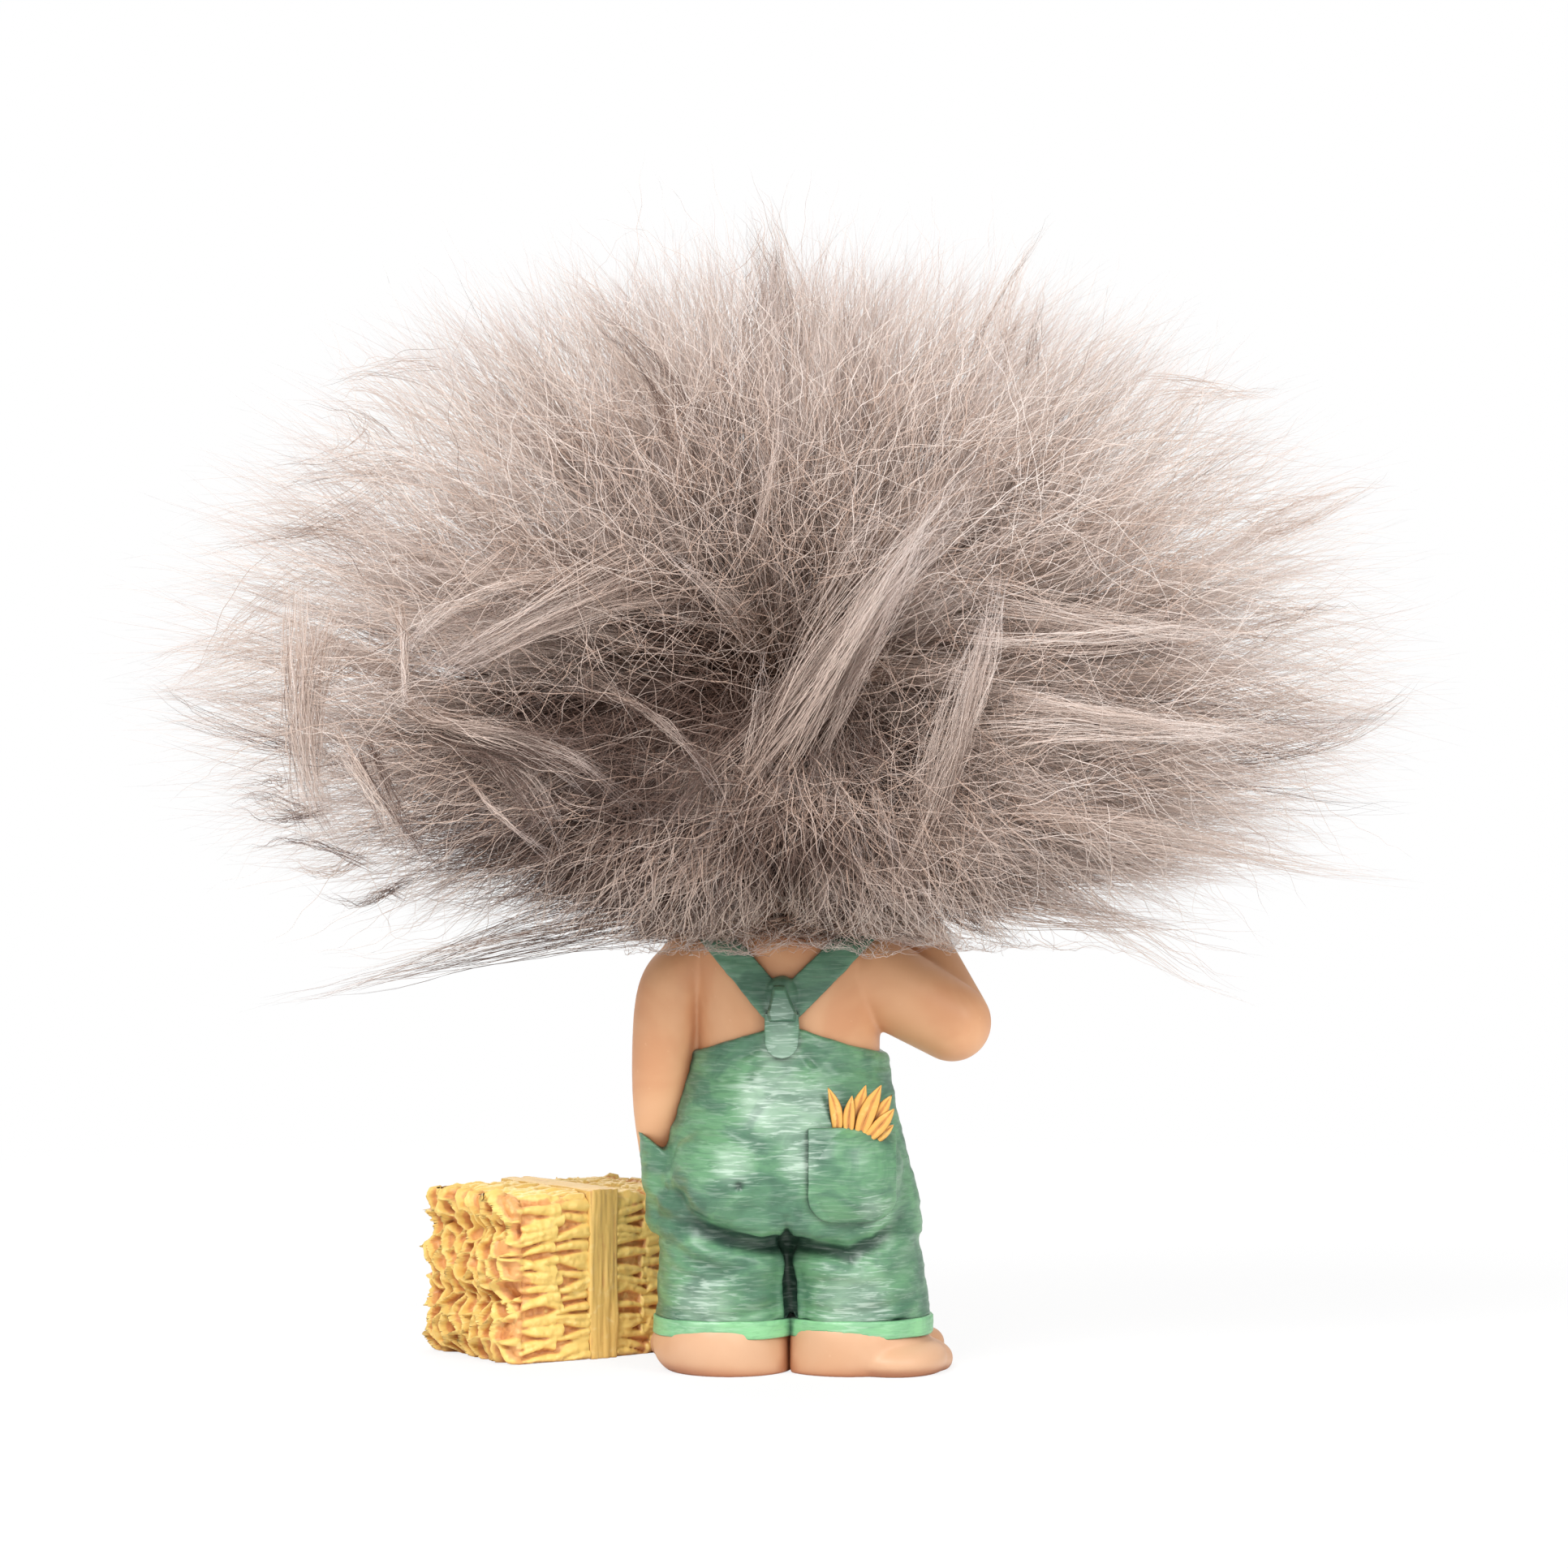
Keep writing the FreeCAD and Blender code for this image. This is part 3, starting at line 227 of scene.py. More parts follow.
def brushed_cloth(name, middle, bright, light, dark, deep):
    """Painted cloth: bright patches, painted shade in folds, dry-brushed strokes, painted
    highlights.
    """
    paint = Paint(name, 0.38)
    stroke = paint.noise(2.6, (1.3, 1.3, 0.15), 4.0, 0.8)
    thin_stroke = paint.noise(2.0, (1.5, 1.5, 0.18), 4.0, 0.7)
    patch = paint.noise(7.5, (1, 1, 0.7), 4.0, 0.8)
    base = paint.lay(middle, bright, patch, 0.40, 0.64)
    base = paint.lay(base, dark, patch, 0.44, 0.28, 0.0, 0.55)
    base = paint.lay(base, dark, thin_stroke, 0.50, 0.34, 0.0, 0.30)
    # Painted shade: darker in the folds marked on the mesh and wherever the surface is enclosed
    crease_shade = paint.maths("ADD", paint.attribute("crease_shade"), paint.ramp(paint.hollow(2.6), 0.14, 0.62))
    base = paint.lay(base, deep, crease_shade, 0.04, 1.0, 0.0, 0.90)
    dry_brush_and_highlight = paint.attribute("dry_brush_and_highlight")
    # Dry-brushed strokes with painted highlight on the marked places, then a broad painted
    # highlight
    brushed_strokes_and_highlight = (paint.ramp(stroke, 0.48, 0.68), paint.ramp(dry_brush_and_highlight, 0.0, 0.9, 0.10, 0.50))
    base = paint.mix(paint.maths("MULTIPLY", *brushed_strokes_and_highlight), base, light)
    broad_highlight = (paint.ramp(dry_brush_and_highlight, 0.35, 1.0, 0.0, 0.30), paint.ramp(patch, 0.25, 0.70, 0.45, 1.0))
    base = paint.mix(paint.maths("MULTIPLY", *broad_highlight), base, light)
    return paint.finish(base, thin_stroke, 0.30, 0.10)


def skin_paint(name, middle, warm, light, shade):
    """Painted skin: warm and light patches, pale flecks and shade in its creases."""
    paint = Paint(name, 0.46, 0.4)
    patch = paint.noise(14.0, (1, 1, 1), 3.0, 0.5)
    base = paint.lay(warm, middle, patch, 0.35, 0.62)
    base = paint.lay(base, light, patch, 0.60, 0.78, 0.0, 0.5)
    base = paint.lay(base, light, paint.noise(0.9, (1, 1, 1), 2.0), 0.70, 0.80, 0.0, 0.35)
    base = paint.lay(base, shade, paint.hollow(3.0), 0.18, 0.80, 0.0, 0.85)
    return paint.finish(base, paint.noise(1.1, (1, 1, 1), 3.0), 0.18, 0.06)


def straw_paint(name, ridge, pale, recess, deep):
    """Painted straw: ridges and recesses by its mesh's relief, pale streaks, and painted shade in
    its hollows.
    """
    paint = Paint(name, 0.45, 0.4)
    fine = paint.noise(1.6, (1, 1, 1), 4.0, 0.5)
    relief = paint.maths("ADD", paint.attribute("relief"), paint.ramp(fine, 0.2, 0.8, -0.16, 0.16))
    base = paint.lay(recess, ridge, relief, 0.36, 0.62)
    base = paint.lay(base, deep, relief, 0.20, -0.05, 0.0, 0.8)
    base = paint.lay(base, pale, fine, 0.56, 0.74, 0.0, 0.55)
    # Painted shade where the straw is enclosed
    base = paint.lay(base, deep, paint.hollow(2.2), 0.35, 0.95, 0.0, 0.75)
    return paint.finish(base, fine, 0.3, 0.1)


def fleece_paint(name):
    """Fibre colour from its own map: across is the fibre's tone, painted shade included; up is the
    way to its tip.
    """
    paint = Paint(name, 0.5, 0.25)
    reader = paint.node("UVMap", uv_map="OFBake")
    split = paint.node("SeparateXYZ", {"Vector": reader.outputs["UV"]})
    tone, way = split.outputs["X"], split.outputs["Y"]
    base = paint.lay((96, 68, 54), (184, 152, 132), way, 0.0, 0.30)
    base = paint.lay(base, (216, 196, 184), way, 0.22, 0.70)
    base = paint.lay(base, (222, 206, 201), way, 0.70, 1.0)
    # Low tones darken to brown: dark locks, and the painted shade of the hollows in the tones
    base = paint.lay(base, (84, 58, 48), tone, 0.46, 0.0, 0.0, 0.88)
    base = paint.lay(base, (244, 233, 226), tone, 0.54, 1.0, 0.0, 0.80)
    return paint.finish(base)


# How far from an eye's middle its iris and its pupil fade out
IRIS_EDGE = (2.0 * MM, 2.15 * MM)
PUPIL_EDGE = (1.05 * MM, 0.92 * MM)


def eye_paint(name, centre_x, centre_z):
    """A painted eye: a dark pupil and a brown iris on ivory, round the eye's own middle."""
    paint = Paint(name, 0.12)
    offset = paint.vector_maths("SUBTRACT", paint.place, (centre_x, 0, centre_z))
    away = paint.vector_maths("LENGTH", paint.vector_maths("MULTIPLY", offset, (1, 0, 1)))
    iris = paint.lay((92, 58, 34), (134, 92, 52), paint.noise(0.5, (1, 4, 1), 2.0), 0.4, 0.6)
    base = paint.lay(iris, (238, 230, 214), away, *IRIS_EDGE)
    return paint.finish(paint.lay(base, (24, 16, 14), away, *PUPIL_EDGE))


GREEN = brushed_cloth(
    "overalls_green", (78, 120, 93), (102, 150, 110), (210, 228, 214), (54, 90, 72), (28, 54, 44)
)
STRAP_GREEN = brushed_cloth(
    "strap_green", (70, 108, 86), (90, 132, 104), (196, 216, 202), (50, 82, 66), (26, 48, 38)
)
HEM_GREEN = brushed_cloth(
    "hem_green", (122, 180, 132), (136, 198, 142), (196, 228, 200), (88, 142, 106), (46, 84, 62)
)
SKIN = skin_paint("skin", (222, 170, 128), (212, 154, 112), (234, 190, 152), (164, 98, 62))
FOOT_SKIN = skin_paint(
    "foot_skin", (212, 168, 134), (206, 158, 122), (222, 184, 150), (168, 106, 70)
)
LIP = skin_paint("lip", (190, 112, 88), (178, 98, 76), (206, 132, 106), (130, 66, 50))
HIDE = skin_paint("hide", (150, 126, 110), (132, 106, 92), (176, 152, 136), (86, 64, 54))
BROW = skin_paint("brow_paint", (118, 92, 74), (96, 72, 58), (150, 124, 104), (62, 44, 36))
STRAW = straw_paint("straw", (240, 204, 118), (250, 228, 156), (226, 166, 104), (178, 108, 60))
BAND = straw_paint("band_straw", (232, 192, 112), (244, 216, 152), (222, 172, 104), (174, 116, 62))
SPRIG = straw_paint("straw_gold", (228, 172, 88), (244, 206, 132), (206, 140, 74), (132, 76, 36))
BUTTON = straw_paint(
    "button_paint", (214, 172, 88), (238, 206, 128), (190, 146, 70), (104, 74, 36)
)
FLEECE = fleece_paint("fleece")


# Pieces


def coat(mesh, material):
    """Give a mesh one material in place of its own."""
    mesh.materials.clear()
    mesh.materials.append(material)


def add_piece(name, mesh, material, nodes=()):
    """Show a mesh as a piece of the figure that stands for the given CAD nodes."""
    piece = bpy.data.objects.new(name, mesh)
    bpy.context.scene.collection.objects.link(piece)
    coat(mesh, material)
    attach(piece, "root")
    if nodes:
        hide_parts(*nodes)
    return piece


def read_vectors(items, name):
    """A vector of each item of a mesh."""
    flat = np.empty(len(items) * 3)
    items.foreach_get(name, flat)
    return flat.reshape(-1, 3)


def read_points(mesh):
    return read_vectors(mesh.vertices, "co")


def read_normals(mesh):
    return read_vectors(mesh.vertex_normals, "vector")


def write_points(mesh, points):
    mesh.vertices.foreach_set("co", points.ravel())
    mesh.update()


def write_share(mesh, name, values):
    """Store a value at each point of a mesh for its material to read."""
    attribute = mesh.attributes.new(name, "FLOAT", "POINT")
    attribute.data.foreach_set("value", np.asarray(values, dtype=np.float32))


def stand(mesh, points):
    """Write a mesh's points, with none of them under the ground."""
    points[:, 2] = np.maximum(points[:, 2], 0)
    write_points(mesh, points)


def remeshed(name, shape, voxel, rounds):
    """A voxel remesh of a built shape, smoothed in rounds. The shape is used up."""
    rough = bpy.data.meshes.new(f"{name}_rough")
    shape.to_mesh(rough)
    shape.free()
    maker = bpy.data.objects.new(f"{name}_maker", rough)
    bpy.context.scene.collection.objects.link(maker)
    remesh = maker.modifiers.new("remesh", "REMESH")
    remesh.mode = "VOXEL"
    remesh.voxel_size = voxel * MM
    soften = maker.modifiers.new("soften", "SMOOTH")
    soften.factor = 0.5
    soften.iterations = rounds
    graph = bpy.context.evaluated_depsgraph_get()
    mesh = bpy.data.meshes.new_from_object(maker.evaluated_get(graph))
    mesh.name = name
    bpy.data.objects.remove(maker)
    bpy.data.meshes.remove(rough)
    mesh.shade_smooth()
    return mesh


# Points of a CAD node that are nearer than this are one
MERGE_DISTANCE = 0.002 * MM


def casting(name, nodes, voxel, grow, rounds, lumps=()):
    """One smooth closed mesh from touching CAD nodes and oval lumps, grown in millimetres."""
    joined = bmesh.new()
    for place, radii in lumps:
        scale = Matrix.Diagonal((*[radius * MM for radius in radii], 1))
        placed = Matrix.Translation(place) @ scale
        bmesh.ops.create_icosphere(joined, subdivisions=4, radius=1.0, matrix=placed)
    for node in nodes:
        joined.from_mesh(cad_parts[node].data)
    bmesh.ops.remove_doubles(joined, verts=joined.verts, dist=MERGE_DISTANCE)
    bmesh.ops.recalc_face_normals(joined, faces=joined.faces)
    joined.normal_update()
    for vert in joined.verts:
        vert.co += vert.normal * grow * MM
    return remeshed(name, joined, voxel, rounds)


def line_distance(across, up, line):
    """Distance in the upright plane to a line of points, and the share of its length there."""
    nearest = np.full(len(across), np.inf)
    share = np.zeros(len(across))
    for index, ((x0, z0), (x1, z1)) in enumerate(zip(line, line[1:])):
        run_x, run_z = x1 - x0, z1 - z0
        along = np.clip(((across - x0) * run_x + (up - z0) * run_z) / (run_x**2 + run_z**2), 0, 1)
        away = np.hypot(across - x0 - along * run_x, up - z0 - along * run_z)
        closer = away < nearest
        nearest[closer] = away[closer]
        share[closer] = ((index + along) / (len(line) - 1))[closer]
    return nearest, share


# Folds of the dungarees, as lines of photograph pixels with a depth and a width in millimetres
FOLDS = (
    ((842, 1490, 870, 1508, 905, 1521, 940, 1527, 966, 1520), 1.7, 1.7),
    ((968, 1520, 1005, 1530, 1045, 1536, 1078, 1523, 1112, 1496), 1.6, 1.5),
    ((969, 1490, 971, 1535, 973, 1580, 975, 1620, 976, 1675), 1.2, 0.6),
    ((969, 1500, 971, 1535, 973, 1580, 975, 1620, 976, 1665), 0.55, 2.6),
    ((832, 1526, 855, 1546, 890, 1555, 925, 1550), 0.7, 1.1),
    ((826, 1556, 860, 1567, 905, 1566), 0.5, 0.9),
    ((1030, 1546, 1062, 1550, 1095, 1538), 0.5, 1.0),
    ((815, 1609, 865, 1617, 920, 1611, 958, 1601), 0.5, 1.0),
    ((817, 1626, 880, 1634, 938, 1629), 0.4, 0.8),
    ((992, 1604, 1040, 1611, 1090, 1601, 1132, 1588), 0.4, 0.9),
    ((994, 1627, 1040, 1634, 1092, 1625, 1132, 1610), 0.5, 0.9),
    ((936, 1282, 926, 1291, 912, 1298), 0.4, 0.8),
    ((940, 1300, 928, 1310, 918, 1326), 0.35, 0.8),
    ((984, 1282, 1004, 1298, 1040, 1310, 1074, 1314), 0.4, 0.9),
    ((992, 1294, 1010, 1312, 1030, 1322), 0.3, 0.8),
    ((800, 1474, 812, 1492, 848, 1503), 0.6, 1.1),
    ((806, 1446, 822, 1462, 850, 1470), 0.45, 1.0),
    ((842, 1440, 838, 1466, 850, 1490), 0.5, 1.2),
    ((1108, 1430, 1116, 1462, 1110, 1492), 0.4, 1.2),
)
# The swelling beside a groove: how far off, how wide and how high, in shares of the groove
SWELL_OFF, SWELL_WIDTH, SWELL_HEIGHT = 1.7, 1.1, 0.38
# A dimple in the seat: pixel, reach and depth in millimetres
DIMPLE, DIMPLE_REACH, DIMPLE_DEPTH = (912, 1450), 0.75, 0.8
# A painted shadow under the seat: pixel, reach in millimetres, narrowing across and strength
SEAT_SHADOW, SEAT_SHADOW_REACH, SEAT_SHADOW_NARROWING, SEAT_SHADOW_STRENGTH = (970, 1532), 3.2, 1.2, 0.6
# Dry-brushed places, with a painted highlight there: pixel, and reach in millimetres
DRY_BRUSH_AND_HIGHLIGHTS = (
    ((905, 1428), 3.6),
    ((985, 1425), 3.2),
    ((940, 1350), 4.6),
    ((868, 1598), 6.0),
    ((1052, 1590), 6.5),
    ((1075, 1480), 3.0),
    ((985, 1360), 5.0),
    ((962, 1284), 3.4),
    ((962, 1240), 2.6),
)
# Cells of a cloth's waves and ripples in millimetres, and the ripples' share
WAVE_CELLS, RIPPLE_CELLS, RIPPLE_SHARE = np.array((9, 9, 1.7)), np.array((3.0, 3.0, 0.7)), 0.35


def away_from(points, pixel, narrowing=1.0):
    """Distance from a pixel's place in the upright plane, narrowed across."""
    x, _, z = from_photo(*pixel)
    return np.hypot((points[:, 0] - x) * narrowing, points[:, 2] - z)


def fold_field(points):
    """How far each point of the dungarees moves inward for the folds, in millimetres."""
    sink = np.zeros(len(points))
    for pixels, depth, width in FOLDS:
        line = [from_photo(*pixel)[::2] for pixel in pairs(pixels)]
        away, share = line_distance(points[:, 0], points[:, 2], line)
        ends = np.sin(np.pi * np.clip(share, 0.02, 0.98)) ** 0.5
        swell = bell(away - SWELL_OFF * width * MM, SWELL_WIDTH * width * MM)
        sink += ends * depth * (bell(away, width * MM) - SWELL_HEIGHT * swell)
    return sink


def dress_cloth(mesh, ripple, seed, folded=False):
    """Press ripples, and folds if any, into a cloth casting; mark painted shade, dry brush and
    painted highlight.
    """
    points, normals = read_points(mesh), read_normals(mesh)
    sink = pit = shade = np.zeros(len(points))
    if folded:
        sink = fold_field(points)
        pit = bell(away_from(points, DIMPLE), DIMPLE_REACH * MM) * (points[:, 1] > 0)
        away = away_from(points, SEAT_SHADOW, SEAT_SHADOW_NARROWING)
        shade = SEAT_SHADOW_STRENGTH * bell(away, SEAT_SHADOW_REACH * MM)
    waves = layered(points, WAVE_CELLS * MM, seed, 3) * ripple
    fine = layered(points, RIPPLE_CELLS * MM, seed + 9, 2) * ripple * RIPPLE_SHARE
    push = -sink + waves + fine - pit * DIMPLE_DEPTH
    write_points(mesh, points + normals * (push * MM)[:, None])
    # Dry-brushed paint and painted highlight round the listed places, only where the surface faces
    # +Y
    dry_brush_and_highlight = sum(bell(away_from(points, pixel), reach * MM) for pixel, reach in DRY_BRUSH_AND_HIGHLIGHTS)
    write_share(mesh, "dry_brush_and_highlight", np.clip(dry_brush_and_highlight, 0, 1) * smooth(normals[:, 1], 0.2, 0.9))
    # Painted shade in the folds, the dimple and under the seat, less on raised waves
    write_share(mesh, "crease_shade", np.clip(sink * 0.85 + (pit + shade) - waves * 0.9, 0, 1))


def add_cloth(
    name, nodes, cast, ripple, seed, paint=STRAP_GREEN, folded=False
):
    """A piece of painted cloth. cast: its voxel, growth and rounds of smoothing."""
    mesh = casting(f"{name}_cast", nodes, *cast)
    dress_cloth(mesh, ripple, seed, folded)
    add_piece(name, mesh, paint, nodes)


overalls_nodes = ("overalls_seat", "left_trouser_leg", "right_trouser_leg", "side_pocket")
add_cloth("overalls", overalls_nodes, (0.30, 0.30, 14), 0.16, 3, GREEN, folded=True)

# Flesh at the outer side of the right foot: middle, and half widths in millimetres
FOOT_LUMPS = {
    "left": (),
    "right": (
        (from_photo(1100, 1672, 1.0 * MM), (8.0, 11.0, 3.7)),
        (from_photo(1114, 1672, -3.0 * MM), (7.2, 11.0, 3.3)),
    ),
}
for side in ("left", "right"):
    hem, foot = f"{side}_hem", f"{side}_foot"
    add_cloth(f"{side}_rolled_hem", (hem,), (0.22, 0.34, 5), 0.10, 11, HEM_GREEN)
    foot_mesh = casting(f"{foot}_cast", (foot,), 0.26, 0.12, 30, FOOT_LUMPS[side])
    stand(foot_mesh, read_points(foot_mesh))
    add_piece(f"{side}_bare_foot", foot_mesh, FOOT_SKIN, (foot,))

strap_nodes = ("left_strap", "right_strap", "strap_knot")
add_cloth("shoulder_straps", strap_nodes, (0.18, 0.16, 7), 0.09, 17)
for node, voxel in (("strap_tab", 0.16), ("bib", 0.2), ("bib_pocket", 0.2)):
    add_cloth(f"painted_{node}", (node,), (voxel, 0.12, 4), 0.08, 23)
add_cloth("patch_pocket", ("back_pocket",), (0.18, 0.30, 5), 0.08, 31, GREEN)

skin_nodes = ("torso", "left_arm", "right_upper_arm", "right_forearm", "right_hand")
head_nodes = ("head", "nose", "left_ear", "right_ear", "left_eyelid", "right_eyelid")
for name, nodes, cast, material, slot in (
    ("bare_body", skin_nodes, (0.36, 0.14, 14), SKIN, "skin"),
    ("face", head_nodes, (0.30, 0.10, 6), SKIN, "skin"),
    ("painted_lip", ("lower_lip",), (0.15, 0.08, 3), LIP, "lip"),
):
    add_piece(name, casting(f"{name}_cast", nodes, *cast), material, nodes)

# Nodes that are shown as they are
for side in ("left", "right"):
    eye_low, eye_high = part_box(f"{side}_eye")
    middle = (eye_low + eye_high) / 2
    coat(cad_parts[f"{side}_eye"].data, eye_paint(f"{side}_eye_paint", middle.x, middle.z))
for node, material in (("bib_buttons", BUTTON), ("brows", BROW), ("pelt_hide", HIDE)):
    coat(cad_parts[node].data, material)

# The knot's outline seen from behind
KNOT = ((953, 1215), (967, 1215), (982, 1248), (980, 1259), (948, 1259), (945, 1248))


def close_rings(shape, rings):
    """Faces between each ring of corners and the next, and over both ends."""
    for first, second in zip(rings, rings[1:]):
        for index, vert in enumerate(first):
            after = (index + 1) % len(first)
            shape.faces.new((vert, first[after], second[after], second[index]))
    shape.faces.new(rings[0])
    shape.faces.new(rings[-1])


def make_knot():
    """A flat folded knot: its outline drawn out over the back, with softened edges."""
    low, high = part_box("strap_knot")
    outline = np.array([from_photo(*pixel, high.y) for pixel in KNOT])
    middle = outline.mean(axis=0)
    knot, rings = bmesh.new(), []
    for depth, share in ((low.y, 1.04), (high.y + 0.5 * MM, 1.0), (high.y + 1.2 * MM, 0.80)):
        ring = middle + (outline - middle) * share
        ring[:, 1] = depth
        rings.append([knot.verts.new(place) for place in ring])
    close_rings(knot, rings)
    bmesh.ops.recalc_face_normals(knot, faces=knot.faces)
    return knot


knot_mesh = remeshed("knot_cast", make_knot(), 0.13, 5)
dress_cloth(knot_mesh, 0.08, 29)
add_piece("folded_knot", knot_mesh, STRAP_GREEN)

# Straw blades in the back pocket: foot, bend and tip as pixels, half width in millimetres,
# and how far behind the pocket's own depth the tip leans
BLADES = (
    ((1030, 1400), (1036, 1372), (1020, 1340), 0.62, 0.2),
    ((1040, 1400), (1030, 1372), (1029, 1352), 0.45, -0.3),
    ((1046, 1402), (1044, 1378), (1050, 1350), 0.60, 0.5),
    ((1052, 1402), (1054, 1372), (1067, 1337), 0.80, 0.7),
    ((1058, 1404), (1066, 1372), (1086, 1337), 0.85, 0.9),
    ((1062, 1404), (1078, 1380), (1099, 1349), 0.80, 0.7),
    ((1066, 1406), (1084, 1388), (1102, 1366), 0.70, 0.4),
    ((1072, 1408), (1086, 1398), (1101, 1386), 0.55, 0.1),
)
# Round each blade's section: across, outwards, and how raised its paint is
BLADE_SECTION = (
    (-1, 0, 0.15), (-0.8, 0.5, 0.95), (-0.35, 0.55, 0.75), (0, 0.10, 0.10),
    (0.35, 0.55, 0.75), (0.8, 0.5, 0.95), (1, 0, 0.15), (0, -0.5, 0.1),
)
BLADE_STEPS = 19
# In millimetres: every other blade's inset, their thickness, and the half width where it thins
BLADE_INSET, BLADE_THICKNESS, BLADE_THINS = 0.5, 0.85, 0.4


def make_blades():
    """Flat curved pointed straws with a groove down the middle, and their relief."""
    low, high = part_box("pocket_straw")
    middle_depth = (low.y + high.y) / 2
    face = np.array((0.0, 1.0, 0.0))
    way = np.linspace(0, 1, BLADE_STEPS)[:, None]
    sprig, relief = bmesh.new(), []
    for number, (*pixels, half_width, lean) in enumerate(BLADES):
        inset = (number % 2) * BLADE_INSET * MM
        depths = [middle_depth - inset + part * MM for part in (-0.4, 0.2, 0.2 + lean)]
        corners = [np.array(from_photo(*pixel, depth)) for pixel, depth in zip(pixels, depths)]
        line = (1 - way) ** 2 * corners[0] + 2 * way * (1 - way) * corners[1] + way**2 * corners[2]
        side = unit(np.cross(unit(np.gradient(line, axis=0)), face))
        rings = []
        for index, share in enumerate(way[:, 0]):
            belly = 0.7 + 0.5 * math.sin(math.pi * share)
            spread = half_width * MM * 1.25 * belly * (1 - share**6)
            thick = BLADE_THICKNESS * MM * (1 - 0.5 * share) * min(1, spread / (BLADE_THINS * MM))
            ring = []
            for across, out, raised in BLADE_SECTION:
                sideways = side[index] * across * (spread + 0.04 * MM)
                ring.append(sprig.verts.new(line[index] + sideways + face * out * thick))
                relief.append(raised * (0.45 + 0.55 * min(1, share * 3)))
            rings.append(ring)
        close_rings(sprig, rings)
    bmesh.ops.recalc_face_normals(sprig, faces=sprig.faces)
    return sprig, relief


sprig, sprig_relief = make_blades()
sprig_mesh = bpy.data.meshes.new("straw_sprig")
sprig.to_mesh(sprig_mesh)
sprig.free()
sprig_mesh.shade_smooth()
write_share(sprig_mesh, "relief", sprig_relief)
add_piece("straw_sprig", sprig_mesh, SPRIG, ("pocket_straw",))

# Straw bale: the corner nearest the camera, the ways of its length and width, and its spans
BALE_CORNER = np.array((39.6, -3.4, 0)) * MM
BALE_ALONG = np.array((-0.813, -0.582))
BALE_ACROSS = np.array((0.582, -0.813))
BALE_WIDTH, BALE_HEIGHT = 23.4 * MM, 24.4 * MM
BAND_PLACE, BAND_HALF = 14.2 * MM, 2.4 * MM


def bale_local(vectors):
    """Points or ways in the bale's own frame: along it, across it and up."""
    flat = vectors[:, :2]
    return np.stack((flat @ BALE_ALONG, flat @ BALE_ACROSS, vectors[:, 2]), axis=1)


def cell_walls(across, up, size, seed):
    """Distances to the two nearest of scattered cell middles, and the nearest one's depth."""
    base = np.floor(np.stack((across, up, np.zeros(len(across))), axis=1) / size)
    nearest = second = np.full(len(across), np.inf)
    depth = np.zeros(len(across))
    for step_x, step_z in np.ndindex(3, 3):
        cell = base + (step_x - 1, step_z - 1, 0)
        middle_x = (cell[:, 0] + 0.5 + 0.42 * lattice(cell, seed)) * size
        middle_z = (cell[:, 1] + 0.5 + 0.42 * lattice(cell, seed + 1)) * size
        away = np.hypot(across - middle_x, up - middle_z)
        depth = np.where(away < nearest, lattice(cell, seed + 2), depth)
        second = np.minimum(second, np.maximum(nearest, away))
        nearest = np.minimum(nearest, away)
    return nearest, second, depth


# Cells between cut straw ends: their width, their warp in millimetres and the warp's cells
CELL_SIZE, WARP, WARP_CELLS = 3.1 * MM, 0.8, 2.2 * MM


def end_relief(across, up, seed):
    """Cut straw ends: thin raised walls round hollow cells of uneven depth, in height shares."""
    flat = np.stack((across, up, np.zeros(len(across))), axis=1)
    warp_x = WARP * layered(flat, WARP_CELLS, seed + 5, 2) * MM
    warp_z = WARP * layered(flat, WARP_CELLS, seed + 9, 2) * MM
    nearest, second, depth = cell_walls(across + warp_x, up + warp_z, CELL_SIZE, seed)
    uneven = 0.86 + 0.2 * noise(flat, 3 * MM, seed + 13)
    wall = (1 - smooth((second - nearest) / MM, 0.10, 0.80)) * uneven
    return np.maximum(wall, 0.14 + 0.20 * depth)


# Laid straws in millimetres: pitch of rows, lap, ranges of lengths, slopes and half widths, and
# the share of relief between them
STRAW_PITCH, STRAW_LAP = 1.25, 6.0
STRAW_LENGTHS, STRAW_SLOPES, STRAW_HALVES = (6.5, 9.5), (-0.30, 0.16), (0.75, 1.25)
STRAW_GROUND = 0.10


def side_relief(rng, along, across, reach):
    """Tapered overlapping straws that fan away from the band, in height shares."""
    relief = np.full(len(along), STRAW_GROUND)
    for row, far, part in np.ndindex(int(reach / (STRAW_PITCH * MM)), 2, 2):
        way = 2 * far - 1
        start = BAND_PLACE + way * BAND_HALF * 0.6
        foot = start + way * (part * STRAW_LAP + rng.uniform(-0.6, 1.2)) * MM
        height = (row + 0.5 + rng.uniform(-0.25, 0.25)) * STRAW_PITCH * MM
        length = rng.uniform(*STRAW_LENGTHS) * MM
        slope = rng.uniform(*STRAW_SLOPES)
        fat = rng.uniform(*STRAW_HALVES) * MM
        past = (along - foot) * way
        share = np.clip(past / length, 0, 1)
        middle = height + slope * length * share + 0.5 * MM * np.sin(share * 3 + row)
        wide = fat * (1 - 0.62 * share) * np.where(past < 0, 0, 1)
        bump = np.sqrt(np.clip(1 - ((across - middle) / np.maximum(wide, 1e-6)) ** 2, 0, 1))
        bump *= (1 - share**4) * rng.uniform(0.7, 1.0)
        relief = np.maximum(relief, bump)
    return relief


# The swollen rolls of the bale's ends: where one stops, and their height
ROLL_START, ROLL_HEIGHT = 9.6 * MM, 10.0 * MM
# Points of the bale under the first height stay, and no other sinks under the second
BALE_FOOT, BALE_LOWEST = 0.6 * MM, 0.05 * MM


